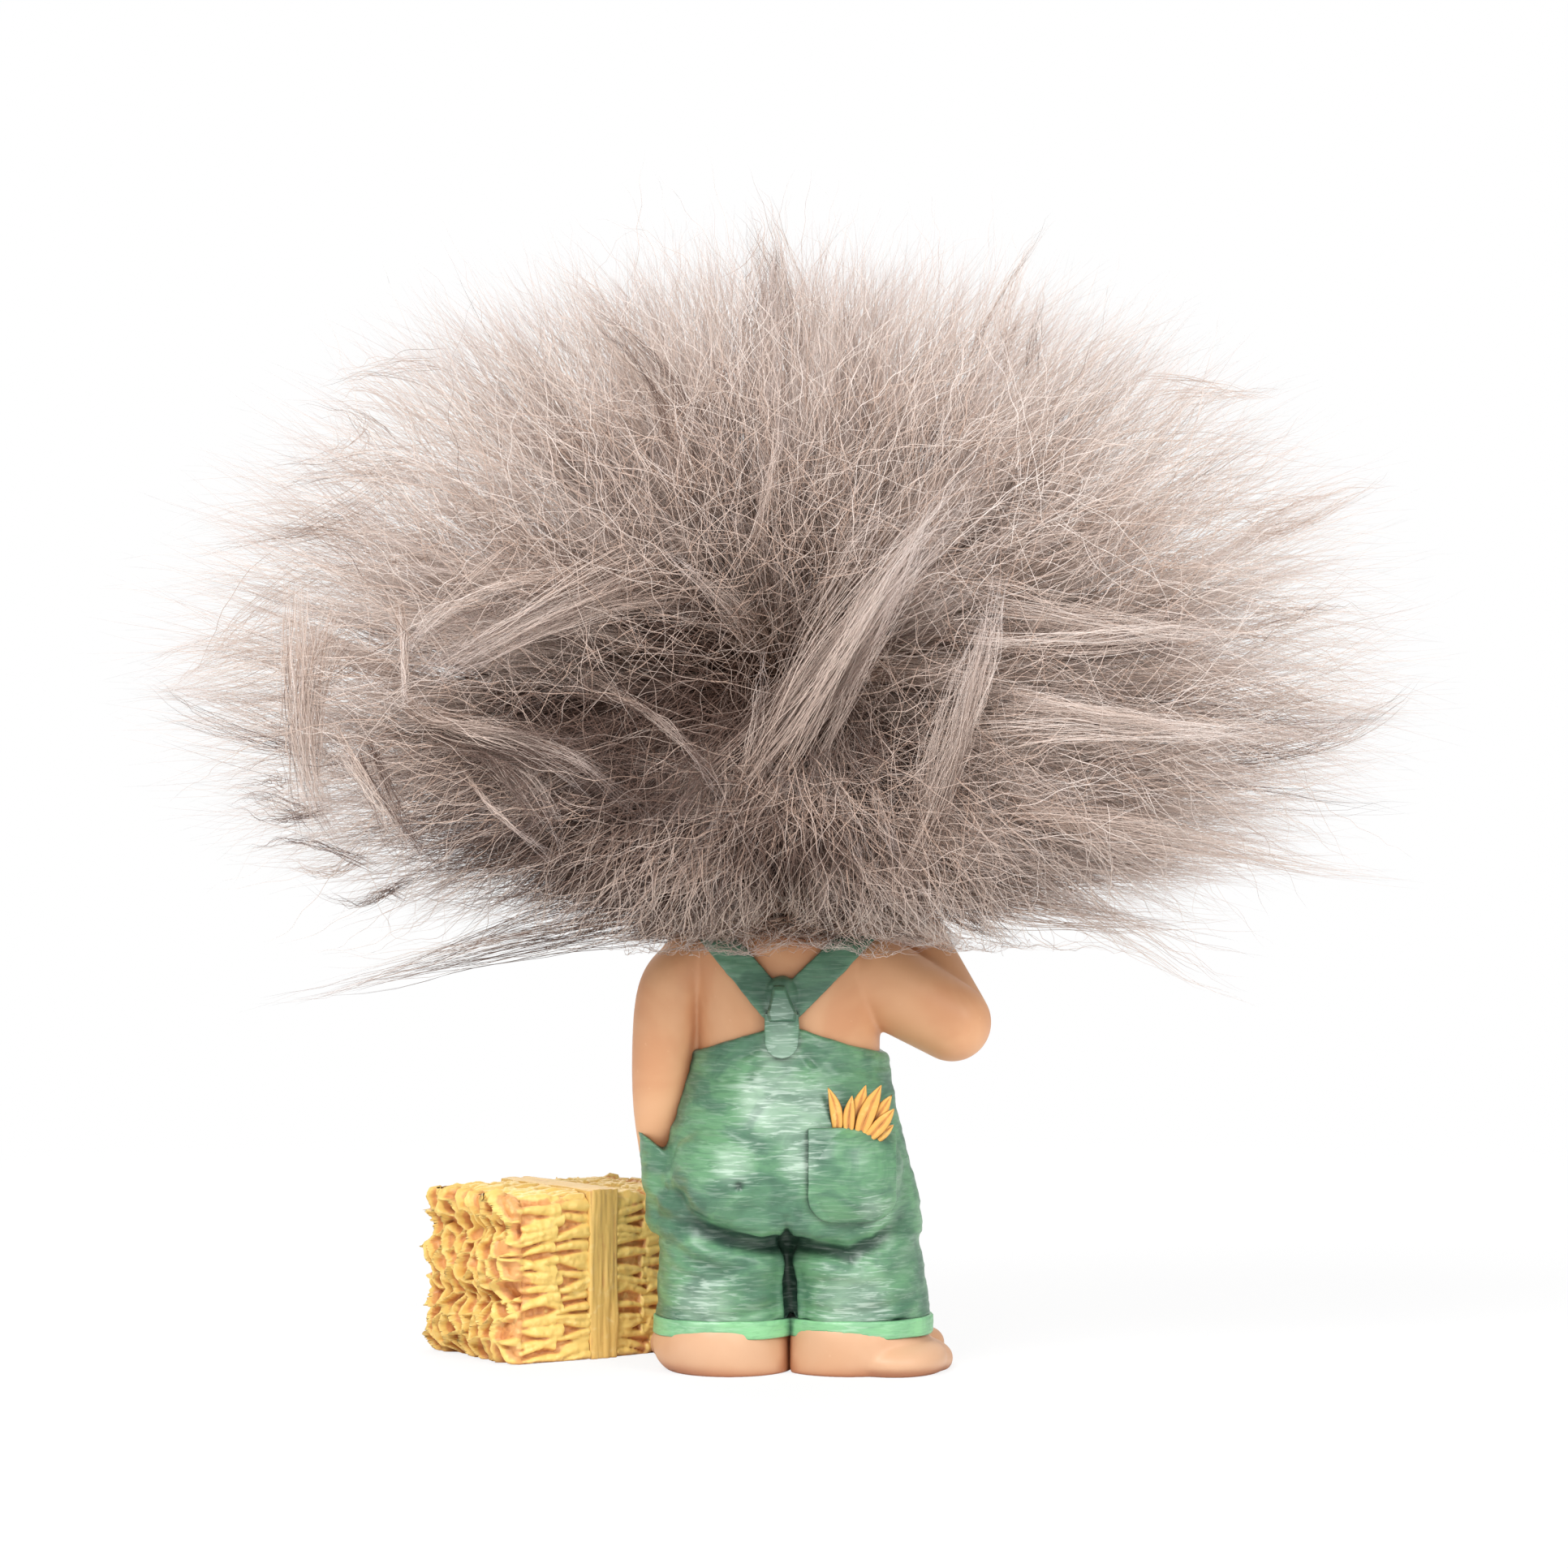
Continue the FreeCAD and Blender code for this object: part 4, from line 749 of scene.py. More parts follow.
def dress_bale(mesh):
    """Carve straw into the bale: hollow ends on its short faces, laid straws on the others."""
    points, normals = read_points(mesh), read_normals(mesh)
    along, across, up = bale_local(points - BALE_CORNER).T
    facing = bale_local(normals)
    weight = facing**2
    weight /= weight.sum(axis=1, keepdims=True)
    rng = np.random.default_rng(SEED + 3)
    ends = end_relief(across + np.where(facing[:, 0] > 0, 50 * MM, 0), up, 61)
    near = side_relief(rng, along, up, BALE_HEIGHT)
    far = side_relief(rng, along, up, BALE_HEIGHT)
    top = side_relief(rng, along, across, BALE_WIDTH)
    sides = np.where(facing[:, 1] < 0, near, far)
    relief = weight[:, 0] * ends + weight[:, 1] * sides + weight[:, 2] * top
    rolls = np.abs(np.sin(np.pi * (up - ROLL_START) / ROLL_HEIGHT))
    swollen = 2.2 * rolls + layered(points, 7 * MM, 71, 2)
    push = weight[:, 0] * (2.7 * relief - 1.0 + swollen) + (1 - weight[:, 0]) * (1.5 * relief - 0.5)
    push += 0.22 * layered(points, 1.1 * MM, 77, 2)
    under_band = smooth(np.abs(along - BAND_PLACE), BAND_HALF, BAND_HALF * 0.8)
    push = push * (1 - under_band) - 0.3 * under_band
    moved = points + normals * (push * MM)[:, None]
    height = np.maximum(moved[:, 2], BALE_LOWEST)
    moved[:, 2] = np.where(points[:, 2] < BALE_FOOT, points[:, 2], height)
    write_points(mesh, moved)
    grain = 0.06 * layered(points, 2 * MM, 79, 2)
    write_share(mesh, "relief", np.clip(relief * 1.05 + grain, 0, 1))


bale_nodes = ("hay_bale", "bale_straws", "bale_straw_ends")
bale = casting("bale_cast", ("hay_bale",), 0.21, 0.0, 4)
dress_bale(bale)
add_piece("carved_bale", bale, STRAW, bale_nodes)
band = casting("band_cast", ("bale_band",), 0.20, 0.25, 6)
band_points = read_points(band)
streaks = layered(bale_local(band_points - BALE_CORNER), np.array((0.7, 6.0, 6.0)) * MM, 83, 3)
stand(band, band_points + read_normals(band) * (streaks * 0.16 * MM)[:, None])
write_share(band, "relief", np.clip(0.80 + streaks * 0.35, 0, 1))
add_piece("straw_band", band, BAND, ("bale_band",))

# Fleece wig

# The ball that the fleece grows on: its radius and its middle
hide_low, hide_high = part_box("pelt_hide")
head_low, head_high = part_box("head")
hide_radius = (hide_high.x - hide_low.x) / 2
hide_middle = np.array((0.0, 0.0, head_high.z - (head_high.x - head_low.x) / 2))
# The burst of fleece: its middle, its depths behind and in front, and the way of its back
BURST_MIDDLE = np.array((0.6, 3.0, 100.0)) * MM
BURST_BACK = 40 * MM
BURST_FRONT = 34 * MM
POLE = np.array((0.0, 0.74, 0.67))
# The dense outline seen from behind: places across and up from the burst's middle
OUTLINE = np.array(
    (
        (0, -33), (45, -32.5), (62, -29), (74, -23), (84, -13), (90, 0),
        (88, 13), (80, 29), (62, 45), (46, 54), (25, 60), (0, 62),
    )
)
outline_turns = np.arctan2(OUTLINE[:, 1], OUTLINE[:, 0])
outline_reach = np.hypot(OUTLINE[:, 0], OUTLINE[:, 1]) * MM


def reach_towards(turn):
    """How far the dense fleece reaches from its middle, by the direction seen from behind."""
    folded = np.arctan2(np.sin(turn), np.abs(np.cos(turn)))
    return np.interp(folded, outline_turns, outline_reach)


# The way from the face into the hair, and the hairline's place along it
INWARD = np.array((0.0, 30.0, 28.0)) / math.hypot(30, 28)
HAIRLINE = -0.12


def hide_point(directions):
    """Points on the hide in some directions, kept behind the hairline, and their ways out."""
    short = np.clip(HAIRLINE - directions @ INWARD, 0, None)
    moved = unit(directions + short[:, None] * INWARD)
    return hide_middle + moved * hide_radius, moved


def curve_points(corners, shares):
    """Points of cubic curves with four corners each, at shares of their way."""
    first, second, third, last = [corners[:, index, None, :] for index in range(4)]
    way = shares[..., None]
    back = 1 - way
    return back**3 * first + 3 * back**2 * way * second + 3 * back * way**2 * third + way**3 * last


def fibre_mesh(name, paths, radii, tones, ways):
    """Closed three-sided tapering tubes along the paths, with each fibre's tone in its map."""
    count, steps = paths.shape[:2]
    along = unit(np.gradient(paths, axis=1))
    steady = unit(np.random.default_rng(SEED).normal(size=(count, 1, 3)))
    side = unit(np.cross(along, steady))
    other = np.cross(along, side)
    rings = []
    for turn in (0, 2 * math.pi / 3, 4 * math.pi / 3):
        rings.append(paths + radii[..., None] * (side * math.cos(turn) + other * math.sin(turn)))
    tubes = np.stack(rings, axis=2)[:, :-1].reshape(count, -1, 3)
    verts = np.concatenate((tubes, paths[:, -1:]), axis=1)
    per_fibre = verts.shape[1]
    faces = []
    for step in range(steps - 1):
        for corner in range(3):
            low, low_next = step * 3 + corner, step * 3 + (corner + 1) % 3
            if step < steps - 2:
                faces += [(low, low_next, low_next + 3), (low, low_next + 3, low + 3)]
            else:
                faces.append((low, low_next, per_fibre - 1))
    faces = np.array([*faces, (2, 1, 0)])
    triangles = count * len(faces)
    corners = (faces[None] + (np.arange(count) * per_fibre)[:, None, None]).reshape(-1)
    mesh = bpy.data.meshes.new(name)
    mesh.vertices.add(count * per_fibre)
    mesh.vertices.foreach_set("co", verts.astype(np.float32).ravel())
    mesh.loops.add(triangles * 3)
    mesh.loops.foreach_set("vertex_index", corners.astype(np.int32))
    mesh.polygons.add(triangles)
    mesh.polygons.foreach_set("loop_start", np.arange(0, triangles * 3, 3, dtype=np.int32))
    mesh.update(calc_edges=True)
    mesh.polygons.foreach_set("use_smooth", np.ones(triangles, dtype=bool))
    step_of_corner = np.append(np.repeat(np.arange(steps - 1), 3), steps - 1)[faces.ravel()]
    places = np.stack((tones[:, step_of_corner], ways[:, step_of_corner]), axis=-1)
    layer = mesh.uv_layers.new(name="OFBake")
    layer.data.foreach_set("uv", places.astype(np.float32).ravel())
    mesh.update()
    return mesh


# Crimps of a fibre in a lock: how many, and how far they sway in millimetres
CRIMP_COUNTS, CRIMP_SWAYS = (2.0, 4.5), (0.15, 0.65)


def grow_locks(rng, guides, spreads, per_lock, steps, shortest):
    """Fibres round the guide curves of locks, with their ways and their locks' numbers. spreads
    has each lock's own at its root, middle and tip, and shortest a fibre's least share."""
    fibres = len(guides) * per_lock
    owner = np.repeat(np.arange(len(guides)), per_lock)
    reach = rng.uniform(shortest, 1.0, fibres)
    shares = np.linspace(0, 1, steps)[None, :] * reach[:, None]
    paths = curve_points(guides[owner], shares)
    way = shares[..., None]
    root, middle, tip = [
        rng.normal(size=(fibres, 1, 3)) * spread[owner][:, None, None] for spread in spreads
    ]
    paths = paths + root * (1 - way) ** 2 + middle * 2 * way * (1 - way) + tip * way**2
    phases = rng.uniform(0, 2 * math.pi, (fibres, 1, 3))
    counts = rng.uniform(*CRIMP_COUNTS, (fibres, 1, 3))
    sway = rng.uniform(*CRIMP_SWAYS, (fibres, 1, 1)) * MM
    paths = paths + np.sin(phases + counts * way * 2 * math.pi) * sway * np.sqrt(way)
    return paths, shares, owner


def way_out(turn, depth=None):
    """Ways from the burst's middle, by their turns seen from behind and depths."""
    depth = np.zeros(len(turn)) if depth is None else depth
    return np.stack((np.cos(turn), depth, np.sin(turn)), axis=1)


# How far the burst's locks lean back: the least and the range in degrees, and their power
LEAN_LEAST, LEAN_RANGE, LEAN_POWER = -24, 110, 0.70
# The share of long locks, and how far they, the crown's besides, and the others reach
LONG_SHARE, LONG_REACHES, CROWN_REACH, OTHER_REACHES = 0.20, (1.0, 1.08), 0.05, (0.80, 0.99)
# How deep the tips lie, as shares of the burst's depth
TIP_DEPTHS = (0.50, 1.08)
# How unevenly they stand: their roots in radians, and the ways of their tips
ROOT_SCATTER, WAY_SCATTER = 0.12, 0.17


def make_burst(rng, locks):
    """Guide curves of locks in all directions but the face, their turns, and which are long."""
    turn = rng.uniform(-math.pi, math.pi, locks)
    lean = np.radians(LEAN_LEAST + LEAN_RANGE * rng.uniform(0, 1, locks) ** LEAN_POWER)
    # No lock beside or under the face leans forward over it
    over_face = (np.sin(turn) < 0.1) & (lean < math.radians(8))
    lean = np.where(over_face, np.abs(lean) * 0.6 + 0.05, lean)
    long = rng.random(locks) < LONG_SHARE
    longer = rng.uniform(*LONG_REACHES, locks) + CROWN_REACH * np.maximum(np.sin(turn), 0)
    reach = reach_towards(turn) * np.where(long, longer, rng.uniform(*OTHER_REACHES, locks))
    outward = way_out(turn)
    tips = BURST_MIDDLE + outward * (reach * np.cos(lean) ** 0.42)[:, None]
    depth = np.where(lean > 0, BURST_BACK, BURST_FRONT)
    tips[:, 1] += depth * np.sin(lean) * rng.uniform(*TIP_DEPTHS, locks)
    root_lean = np.clip(lean + rng.normal(0, ROOT_SCATTER, locks), -0.5, 1.5)
    rim = way_out(turn + rng.normal(0, ROOT_SCATTER, locks))
    away = rim * np.cos(root_lean)[:, None] + POLE * np.sin(root_lean)[:, None]
    roots, out = hide_point(unit(away))
    length = np.linalg.norm(tips - roots, axis=1)[:, None]
    second = roots + unit(out + outward * 0.35) * length * 0.30
    flare = outward * np.cos(lean)[:, None] ** 0.5 + (0, 0.5, 0) * np.sin(lean)[:, None]
    scatter = rng.normal(0, WAY_SCATTER, (locks, 3))
    third = tips - unit(flare + scatter + (tips - second) / length * 0.4) * length * 0.34
    return np.stack((roots, second, third, tips), axis=1), turn, long


# The back of the burst in shares: its bulge and its power, and its parting's depth and reach
BULGE, BULGE_POWER, PARTING_DEPTH, PARTING_REACH = 0.93, 4.76, 0.25, 0.26


def back_depth(share):
    """How far the burst bulges behind its middle, at a share of its reach."""
    bulge = BULGE * np.sqrt(1 - np.minimum(share, 0.985) ** BULGE_POWER)
    return BURST_BACK * (bulge - PARTING_DEPTH * bell(share, PARTING_REACH))


def behind_pixel(px, py, lift):
    """The point on the back of the burst that is seen at a pixel, lifted off it."""
    place = np.array(from_photo(px, py, BURST_BACK)) - BURST_MIDDLE
    share = math.hypot(place[0], place[2]) / reach_towards(math.atan2(place[2], place[0]))
    fading = max(0.0, 1 - share**3)
    return np.array(from_photo(px, py, BURST_MIDDLE[1] + back_depth(share) + lift * fading))


# Stray fibres in millimetres: lengths, lengths of crimps, and mean and spread of their lift
STRAY_LENGTHS, STRAY_CRIMPS, STRAY_LIFT = (14, 42), (4.5, 9.0), (-1.0, 1.8)


def make_strays(rng, count, steps, part):
    """Loose crimped fibres that wander across each other from the inner part of the back."""
    turn = rng.uniform(-math.pi, math.pi, count)
    share = np.sqrt(rng.uniform(0.0, part, count))
    length = rng.uniform(*STRAY_LENGTHS, count) * MM
    start = way_out(turn) * (reach_towards(turn) * share)[:, None]
    heading = turn + rng.normal(0, 1, count) * (0.5 + 1.6 * bell(share, 0.35))
    way = np.linspace(0, 1, steps)
    bend = rng.normal(0, 0.75, (count, 1)) * way
    phase = rng.uniform(0, 2 * math.pi, (count, 2, 1))
    crimps = (length / MM / rng.uniform(*STRAY_CRIMPS, count))[:, None] * way * 2 * math.pi
    wobble = rng.uniform(0.05, 0.36, (count, 1)) * np.sin(crimps + phase[:, 0])
    angle = heading[:, None] + bend + wobble
    pace = (length / (steps - 1))[:, None]
    across = start[:, :1] + np.cumsum(np.cos(angle) * pace, axis=1)
    up = start[:, 2:] + np.cumsum(np.sin(angle) * pace, axis=1)
    lift = rng.normal(*STRAY_LIFT, (count, 1))
    lift = lift + rng.uniform(0, 1.4, (count, 1)) * np.sin(crimps * 0.8 + phase[:, 1])
    out = back_depth(np.hypot(across, up) / reach_towards(np.arctan2(up, across))) + lift * MM
    return BURST_MIDDLE + np.stack((across, out, up), axis=-1)


# Locks that the photograph shows by themselves: four pixels of a curve; depths of its ends
# behind y = 0, or None on the back of the burst; strands; spreads at root, middle and tip, all
# in millimetres; and tone
TUFTS = (
    ((487, 742, 496, 790, 494, 850, 500, 876), None, 3, (1.08, 0.575, 0.36), 0.86),
    ((800, 692, 705, 725, 590, 790, 500, 850), None, 6, (3.12, 2.76, 0.84), 0.74),
    ((860, 706, 735, 745, 625, 780, 505, 856), None, 5, (2.64, 1.84, 0.6), 0.7),
    ((690, 708, 600, 725, 535, 760, 492, 820), None, 5, (2.4, 2.07, 0.72), 0.72),
    ((500, 868, 560, 930, 690, 860, 785, 1046), None, 10, (0.72, 2.76, 2.64), 0.74),
    ((530, 888, 620, 915, 665, 985, 690, 1062), None, 6, (0.96, 2.07, 2.4), 0.66),
    ((430, 905, 462, 950, 492, 1030, 545, 1090), None, 6, (1.44, 1.84, 2.16), 0.62),
    ((556, 925, 588, 985, 630, 1022, 700, 1070), None, 2, (0.48, 0.92, 0.96), 0.9),
    ((402, 780, 352, 880, 362, 990, 425, 1070), None, 12, (3.12, 2.3, 3.36), 0.6),
    ((400, 960, 345, 985, 305, 962, 268, 978), (12, 10), 2, (2.56, 1.7, 2.12), 0.3),
    ((410, 1020, 350, 1000, 318, 1015, 284, 968), (12, 10), 2, (2.56, 1.7, 2.12), 0.3),
    ((470, 1070, 395, 1068, 355, 1058, 318, 1046), (10, 8), 2, (2.56, 1.7, 1.94), 0.3),
    ((500, 1086, 452, 1090, 440, 1150, 368, 1088), (10, 8), 2, (1.92, 1.19, 1.58), 0.28),
    ((880, 1128, 640, 1130, 470, 1190, 308, 1242), (14, 8), 4, (4.16, 4.08, 1.94), 0.36),
    ((800, 1130, 660, 1140, 520, 1165, 400, 1215), (14, 8), 2, (3.84, 3.4, 2.66), 0.4),
    ((900, 1000, 990, 870, 1090, 700, 1212, 560), None, 18, (3.6, 4.37, 2.64), 0.76),
    ((940, 990, 1010, 890, 1080, 800, 1150, 640), None, 11, (3.12, 2.99, 1.92), 0.72),
    ((1160, 1020, 1180, 910, 1214, 820, 1238, 690), None, 6, (2.4, 1.955, 0.6), 0.78),
    ((1085, 1090, 1150, 990, 1195, 860, 1232, 720), None, 7, (3.36, 2.53, 0.96), 0.7),
    ((1190, 880, 1310, 850, 1440, 890, 1570, 925), None, 8, (3.12, 2.53, 1.44), 0.72),
    ((1200, 760, 1320, 770, 1440, 760, 1560, 772), None, 7, (3.12, 2.99, 1.92), 0.7),
    ((1250, 1000, 1400, 1015, 1570, 1075, 1772, 1082), None, 4, (3.84, 2.53, 1.08), 0.44),
    ((1250, 960, 1400, 1000, 1560, 985, 1722, 1008), (18, 6), 3, (4.8, 3.4, 2.12), 0.48),
    ((1250, 1080, 1360, 1140, 1460, 1170, 1552, 1224), (14, 6), 2, (4.16, 3.06, 1.94), 0.4),
    ((1200, 1100, 1300, 1130, 1430, 1120, 1580, 1158), (14, 6), 3, (4.16, 3.4, 2.3), 0.42),
    ((968, 440, 962, 370, 950, 310, 930, 236), (8, 4), 6, (5.12, 2.89, 1.4), 0.44),
    ((990, 450, 990, 400, 962, 340, 936, 290), (8, 4), 6, (5.44, 2.72, 1.94), 0.44),
    ((1210, 440, 1240, 380, 1262, 330, 1286, 272), (6, 2), 2, (3.2, 1.7, 1.22), 0.4),
    ((1240, 460, 1255, 410, 1278, 370, 1282, 330), (6, 2), 2, (2.56, 1.53, 1.4), 0.42),
    ((800, 500, 760, 420, 720, 370, 664, 312), (8, 4), 3, (3.84, 2.55, 1.94), 0.44),
    ((860, 560, 810, 470, 770, 420, 690, 360), None, 5, (2.64, 1.84, 1.2), 0.34),
    ((1500, 660, 1590, 640, 1660, 610, 1722, 574), (6, 2), 3, (4.16, 2.55, 1.58), 0.46),
    ((1480, 840, 1600, 880, 1690, 870, 1772, 858), (8, 2), 4, (4.8, 3.06, 1.76), 0.46),
    ((1500, 900, 1600, 900, 1700, 900, 1742, 830), (8, 2), 3, (4.8, 3.06, 1.94), 0.46),
    ((1480, 760, 1590, 740, 1650, 750, 1684, 736), (6, 2), 3, (4.8, 3.06, 2.12), 0.48),
    ((480, 640, 380, 650, 290, 640, 216, 668), (6, 2), 4, (4.8, 3.06, 1.94), 0.46),
    ((520, 560, 440, 560, 380, 570, 300, 610), (6, 2), 4, (5.12, 3.4, 2.3), 0.48),
    ((460, 800, 340, 800, 260, 820, 166, 842), (8, 2), 7, (5.76, 4.42, 2.3), 0.48),
    ((460, 880, 350, 900, 260, 880, 186, 850), (8, 2), 6, (5.44, 3.74, 2.12), 0.46),
    ((560, 500, 480, 480, 430, 470, 392, 476), (6, 2), 3, (4.8, 3.06, 2.12), 0.48),
    ((720, 836, 800, 860, 862, 930, 906, 985), None, 2, (1.2, 1.15, 1.08), 0.78),
    ((905, 985, 925, 930, 935, 870, 938, 800), None, 2, (1.2, 1.38, 0.96), 0.72),
    ((925, 700, 940, 640, 955, 570, 968, 500), None, 2, (1.44, 1.15, 1.08), 0.8),
    ((1400, 520, 1480, 490, 1520, 500, 1580, 470), (6, 2), 2, (4.16, 2.55, 1.94), 0.48),
)
# How far a lock on the back of the burst lies off it
TUFT_LIFTS = np.array((-6.5, 3.4, 5.2, 4.8)) * MM
# A strand of a lock: its fibres, and their share of the lock's spread
STRAND_FIBRES, STRAND_SPREAD = 14, 0.36
TONE_LIMITS = (0.02, 0.98)
# How far a fibre's tone is from its lock's
FIBRE_TONES = 0.13


def lock_tones(rng, middle, spread, owner):
    """Tones of fibres, scattered round those of their locks."""
    locks = rng.normal(0, spread, owner[-1] + 1)
    return np.clip(middle + locks[owner] + rng.normal(0, FIBRE_TONES, len(owner)), *TONE_LIMITS)


def make_tufts(rng, steps):
    """Fibres of the separate locks, with their ways and tones."""
    made = []
    for pixels, ends, strands, spreads, tone in TUFTS:
        if ends:
            depths = np.linspace(*ends, 4) * MM
            guide = [from_photo(*pixel, depth) for pixel, depth in zip(pairs(pixels), depths)]
        else:
            guide = [behind_pixel(*pixel, lift) for pixel, lift in zip(pairs(pixels), TUFT_LIFTS)]
        reach = np.interp(range(4), (0, 1.5, 3), spreads)[:, None] * MM
        guides = np.array(guide) + rng.normal(0, 1.0, (strands, 4, 3)) * reach
        widths = [np.full(strands, STRAND_SPREAD * spread * MM) for spread in spreads]
        paths, ways, owner = grow_locks(rng, guides, widths, STRAND_FIBRES, steps, 0.5)
        made.append((paths, ways, lock_tones(rng, tone, 0.20, owner)))
    return [np.concatenate(parts) for parts in zip(*made)]


def taper_widths(rng, count, steps, thinnest, thickest):
    """Fibre half widths from millimetres: nearly even, then drawn to a fine tip."""
    way = np.linspace(0, 1, steps)
    shape = np.clip(1 - way**3 * 0.9, 0.1, 1)
    return rng.uniform(thinnest, thickest, count)[:, None] * MM * shape


# Painted shade in the hollows among the fibres: middle and reach across and up in millimetres, and
# strength
SHADED_HOLLOWS = (
    ((10, 92), (34, 20), 0.54),
    ((34, 80), (30, 16), 0.34),
    ((2, 78), (40, 13), 0.26),
    ((8, 124), (26, 18), 0.20),
)
# Patches of uneven tone: size in millimetres, and how much they change the hollows' painted shade
# and the tones
PATCH_SIZE, PATCH_HOLLOWS, PATCH_TONES = 12.0, 0.7, 0.13


def shade_depth(paths, tones):
    """Fibre tones darkened by painted shade in the hollows under the parting, with uneven edges."""
    flat = paths.reshape(-1, 3) / MM
    patchy = layered(flat, PATCH_SIZE, 91, 2).reshape(paths.shape[:2])
    dark = np.zeros(paths.shape[:2])
    for (middle_x, middle_z), (reach_x, reach_z), strength in SHADED_HOLLOWS:
        across = (paths[..., 0] / MM - middle_x) / reach_x
        up = (paths[..., 2] / MM - middle_z) / reach_z
        dark += strength * np.exp(-(across**2 + up**2))
    shaded = tones[:, None] - dark * (1 + PATCH_HOLLOWS * patchy) + PATCH_TONES * patchy
    return np.clip(shaded, *TONE_LIMITS)


# The fleece's lower edge: its height, softness and unevenness
LOWEST_FIBRE, FLOOR_SOFTNESS, FLOOR_UNEVEN = 62.5 * MM, 2.2 * MM, 1.5 * MM


def soft_floor(paths):
    """Bend fibres up softly where they would hang below the nape."""
    uneven = FLOOR_UNEVEN * layered(paths.reshape(-1, 3), 6 * MM, 95, 2)
    low = (LOWEST_FIBRE - uneven).reshape(paths.shape[:2])
    paths[..., 2] = low + FLOOR_SOFTNESS * np.logaddexp(0, (paths[..., 2] - low) / FLOOR_SOFTNESS)


def plant(name, paths, radii, tones, ways, groups, count):
    """Fibres as pieces, by group."""
    # Painted shade in the hollows of the wig goes into the tones
    tones = shade_depth(paths, tones)
    pieces = []
    for index in range(count):
        chosen = groups == index
        label = f"{name}_{index:02d}"
        mesh = fibre_mesh(label, paths[chosen], radii[chosen], tones[chosen], ways[chosen])
        pieces.append(add_piece(label, mesh, FLEECE))
    return pieces


def plant_loose(rng, name, paths, widths, tones, ways, pieces):
    """Single fibres as pieces: half widths as a range, tones as mean and spread, end ways."""
    count, steps = paths.shape[:2]
    soft_floor(paths)
    radii = taper_widths(rng, count, steps, *widths)
    tones = np.clip(rng.normal(*tones, count), *TONE_LIMITS)
    ways = np.tile(np.linspace(*ways, steps), (count, 1))
    plant(name, paths, radii, tones, ways, np.arange(count) % pieces, pieces)


LOCKS, FIBRES_PER_LOCK, FIBRE_STEPS, SHORTEST_FIBRE, SECTORS = 1040, 50, 10, 0.60, 20
# Spreads of locks at root, middle and tip in millimetres, and a long lock's share of the last
ROOT_SPREAD, MIDDLE_SPREADS, TIP_SPREADS, LONG_TIP = 1.8, (1.4, 3.8), (0.4, 2.5), 0.4
# Half widths of fibres in millimetres, and mean and spread of the locks' tones
FIBRE_WIDTHS, LOCK_TONES = (0.038, 0.074), (0.58, 0.17)
rng = np.random.default_rng(SEED)
guides, lock_turn, lock_long = make_burst(rng, LOCKS)
spreads = (
    np.full(LOCKS, ROOT_SPREAD * MM),
    rng.uniform(*MIDDLE_SPREADS, LOCKS) * MM,
    rng.uniform(*TIP_SPREADS, LOCKS) * np.where(lock_long, LONG_TIP, 1.0) * MM,
)
paths, ways, owner = grow_locks(rng, guides, spreads, FIBRES_PER_LOCK, FIBRE_STEPS, SHORTEST_FIBRE)
soft_floor(paths)
radii = taper_widths(rng, len(paths), FIBRE_STEPS, *FIBRE_WIDTHS)
tones = lock_tones(rng, *LOCK_TONES, owner)
sector = np.floor((lock_turn[owner] + math.pi) / (2 * math.pi) * SECTORS).astype(int) % SECTORS
burst = plant("fleece", paths, radii, tones, ways, sector, SECTORS)
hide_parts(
    "hair_fluff",
    "hair_locks_middle",
    "hair_locks_behind",
    "hair_locks_farther_behind",
    "hair_locks_far_behind",
    "hair_locks_front",
)

# The separate locks draw random numbers of their own. Their fibres are fine at the root too,
# and pale all along
TUFT_STEPS, TUFT_WIDTHS, TUFT_ROOT, TUFT_WAYS = 14, (0.030, 0.060), (0.2, 5), (0.44, 0.52)
paths, ways, tones = make_tufts(np.random.default_rng(SEED + 11), TUFT_STEPS)
radii = taper_widths(rng, len(paths), TUFT_STEPS, *TUFT_WIDTHS)
radii *= np.clip(TUFT_ROOT[0] + TUFT_ROOT[1] * np.linspace(0, 1, TUFT_STEPS), 0, 1)
ways = TUFT_WAYS[0] + TUFT_WAYS[1] * ways
plant("tuft", paths, radii, tones, ways, np.arange(len(paths)) % 2, 2)

STRAYS, STRAY_STEPS, STRAY_PART = 3000, 26, 0.40
strays = make_strays(rng, STRAYS, STRAY_STEPS, STRAY_PART)
plant_loose(rng, "stray", strays, (0.036, 0.062), (0.74, 0.22), (0.35, 0.9), 5)


def make_halo(rng, count, steps):
    """Thin straight fibres that leave the wig's rim by themselves."""
    turn = rng.uniform(-math.pi, math.pi, count)
    turn = np.where(np.sin(turn) < -0.62, -turn, turn)
    outward = way_out(turn, rng.uniform(-0.30, 0.30, count))
    reach = reach_towards(turn)[:, None]
    past = np.minimum(1.12, 1.0 + rng.exponential(0.045, count))[:, None]
    tips = BURST_MIDDLE + outward * reach * past
    aim = turn + rng.normal(0, 0.16, count)
    inner = way_out(aim, rng.uniform(-0.40, 0.50, count))
    roots = BURST_MIDDLE + inner * reach * 0.62
    run = tips - roots
    bends = rng.normal(0, 1.7, (2, count, 3)) * MM
    second, third = roots + run * 0.35 + bends[0], roots + run * 0.7 + bends[1]
    guides = np.stack((roots, second, third, tips), axis=1)
    return curve_points(guides, np.tile(np.linspace(0, 1, steps), (count, 1)))


HALO, HALO_STEPS = 5200, 9
halo = make_halo(rng, HALO, HALO_STEPS)
plant_loose(rng, "halo", halo, (0.026, 0.048), (0.62, 0.16), (0.45, 1.0), 2)

# Stage, camera and light

WHITE = (1, 1, 1, 1)
FLOOR_GREY = (0.9, 0.9, 0.9, 1)
FLOOR_REACH = 6.0
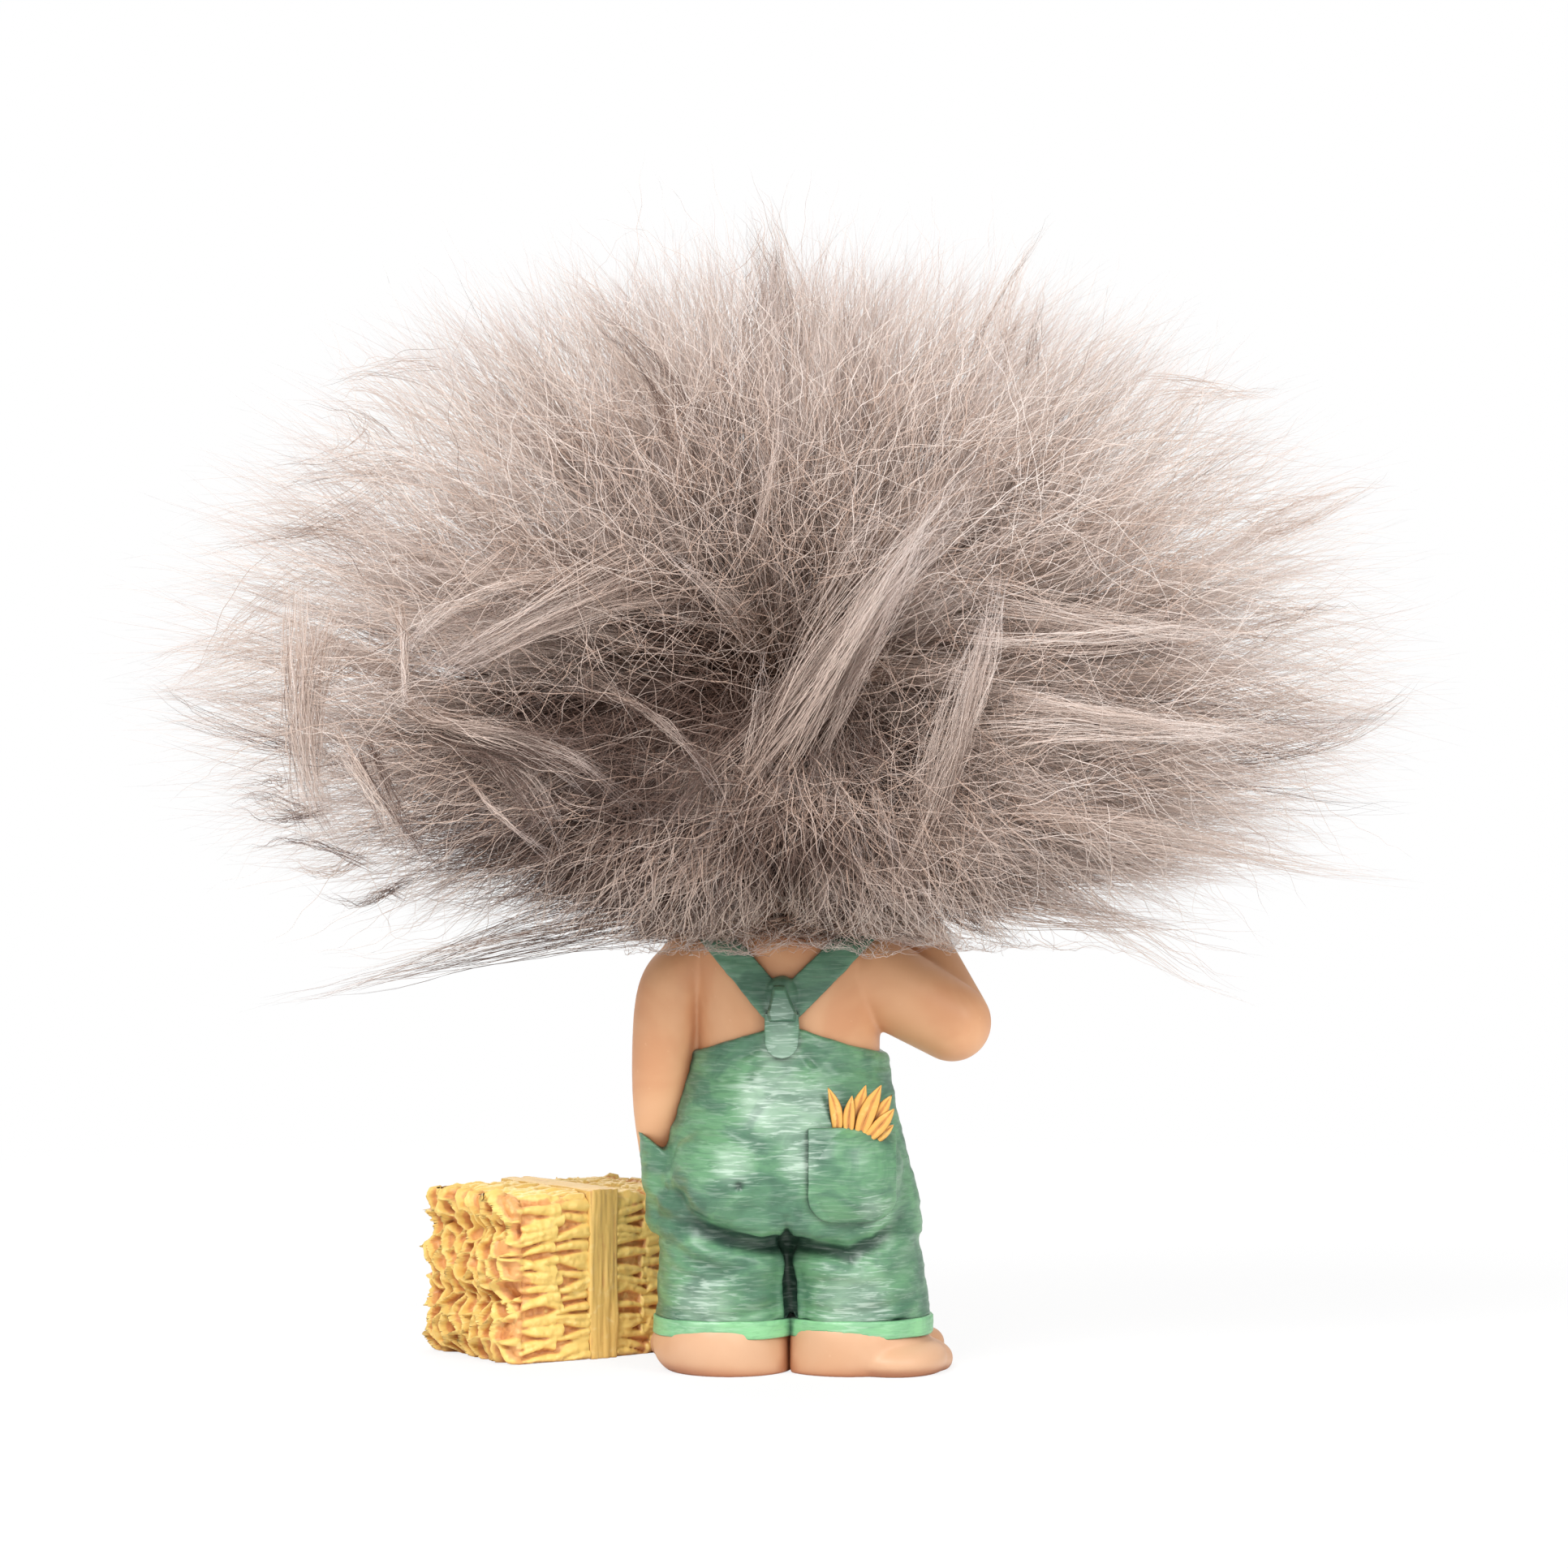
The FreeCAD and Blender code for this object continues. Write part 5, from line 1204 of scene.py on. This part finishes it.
# Between these distances the camera sees these shares of white on the floor
FLOOR_FADE = (0.16, 0.42, 0.82, 1.0)
# The white room's light on the figure, and its brightness as a backdrop
ROOM_LIGHT, BACKDROP_LIGHT = 0.50, 1.0


def show_mix(tree, output, share, first, second):
    """Show the second of two shaders by the share, and the first by the rest."""
    sources = (share, first.outputs[0], second.outputs[0])
    blend = add_node(tree, "MixShader", enumerate(sources))
    tree.links.new(blend.outputs[0], tree.nodes[output].inputs["Surface"])


floor_mesh = bpy.data.meshes.new("floor")
corners = [(x * FLOOR_REACH, y * FLOOR_REACH, 0) for x, y in ((-1, -1), (1, -1), (1, 1), (-1, 1))]
floor_mesh.from_pydata(corners, [], [(0, 1, 2, 3)])
floor = bpy.data.objects.new("floor", floor_mesh)
bpy.context.scene.collection.objects.link(floor)
paint = Paint("floor_white", 0.9, 0.0)
away = paint.vector_maths("LENGTH", paint.place)
fade = set_range(paint.node("MapRange", {"Value": away}), *FLOOR_FADE)
share = paint.maths("MULTIPLY", paint.node("LightPath").outputs["Is Camera Ray"], fade)
glow = paint.node("Emission", {"Color": WHITE})
show_mix(paint.tree, "Material Output", share, paint.shader, glow)
coat(floor_mesh, paint.finish(FLOOR_GREY))

scene = bpy.context.scene
scene.view_settings.view_transform = "Standard"
world = bpy.data.worlds.new("studio")
scene.world = world
world.use_nodes = True
tree = world.node_tree
room = tree.nodes["Background"]
room.inputs["Color"].default_value = WHITE
room.inputs["Strength"].default_value = ROOM_LIGHT
backdrop = add_node(tree, "Background", {"Color": WHITE, "Strength": BACKDROP_LIGHT})
seen = add_node(tree, "LightPath").outputs["Is Camera Ray"]
show_mix(tree, "World Output", seen, room, backdrop)

LAMP_TARGET = Vector((0, 0, 0.07))


def add_lamp(name, place, size, power):
    """A soft square lamp that looks at the figure."""
    data = bpy.data.lights.new(name, "AREA")
    data.size = size
    data.energy = power
    lamp = bpy.data.objects.new(name, data)
    lamp.location = place
    lamp.rotation_euler = (LAMP_TARGET - Vector(place)).to_track_quat("-Z", "Y").to_euler()
    scene.collection.objects.link(lamp)


add_lamp("lamp_back_left", (0.40, 0.70, 0.75), 0.4, 8.0)
add_lamp("lamp_back_right", (-0.55, 0.70, 0.55), 0.4, 5.0)
add_lamp("lamp_front", (0.1, -0.9, 0.8), 0.8, 6.0)

camera_data = bpy.data.cameras.new("camera")
camera_data.sensor_width = SENSOR
camera_data.lens = SENSOR * CAMERA_DISTANCE / (PHOTO_PIXELS * PHOTO_PIXEL)
camera = bpy.data.objects.new("camera", camera_data)
camera.location = (CAMERA_ACROSS, CAMERA_DISTANCE, CAMERA_HEIGHT)
camera.rotation_euler = (math.radians(90), 0, math.radians(180))
scene.collection.objects.link(camera)
scene.camera = camera
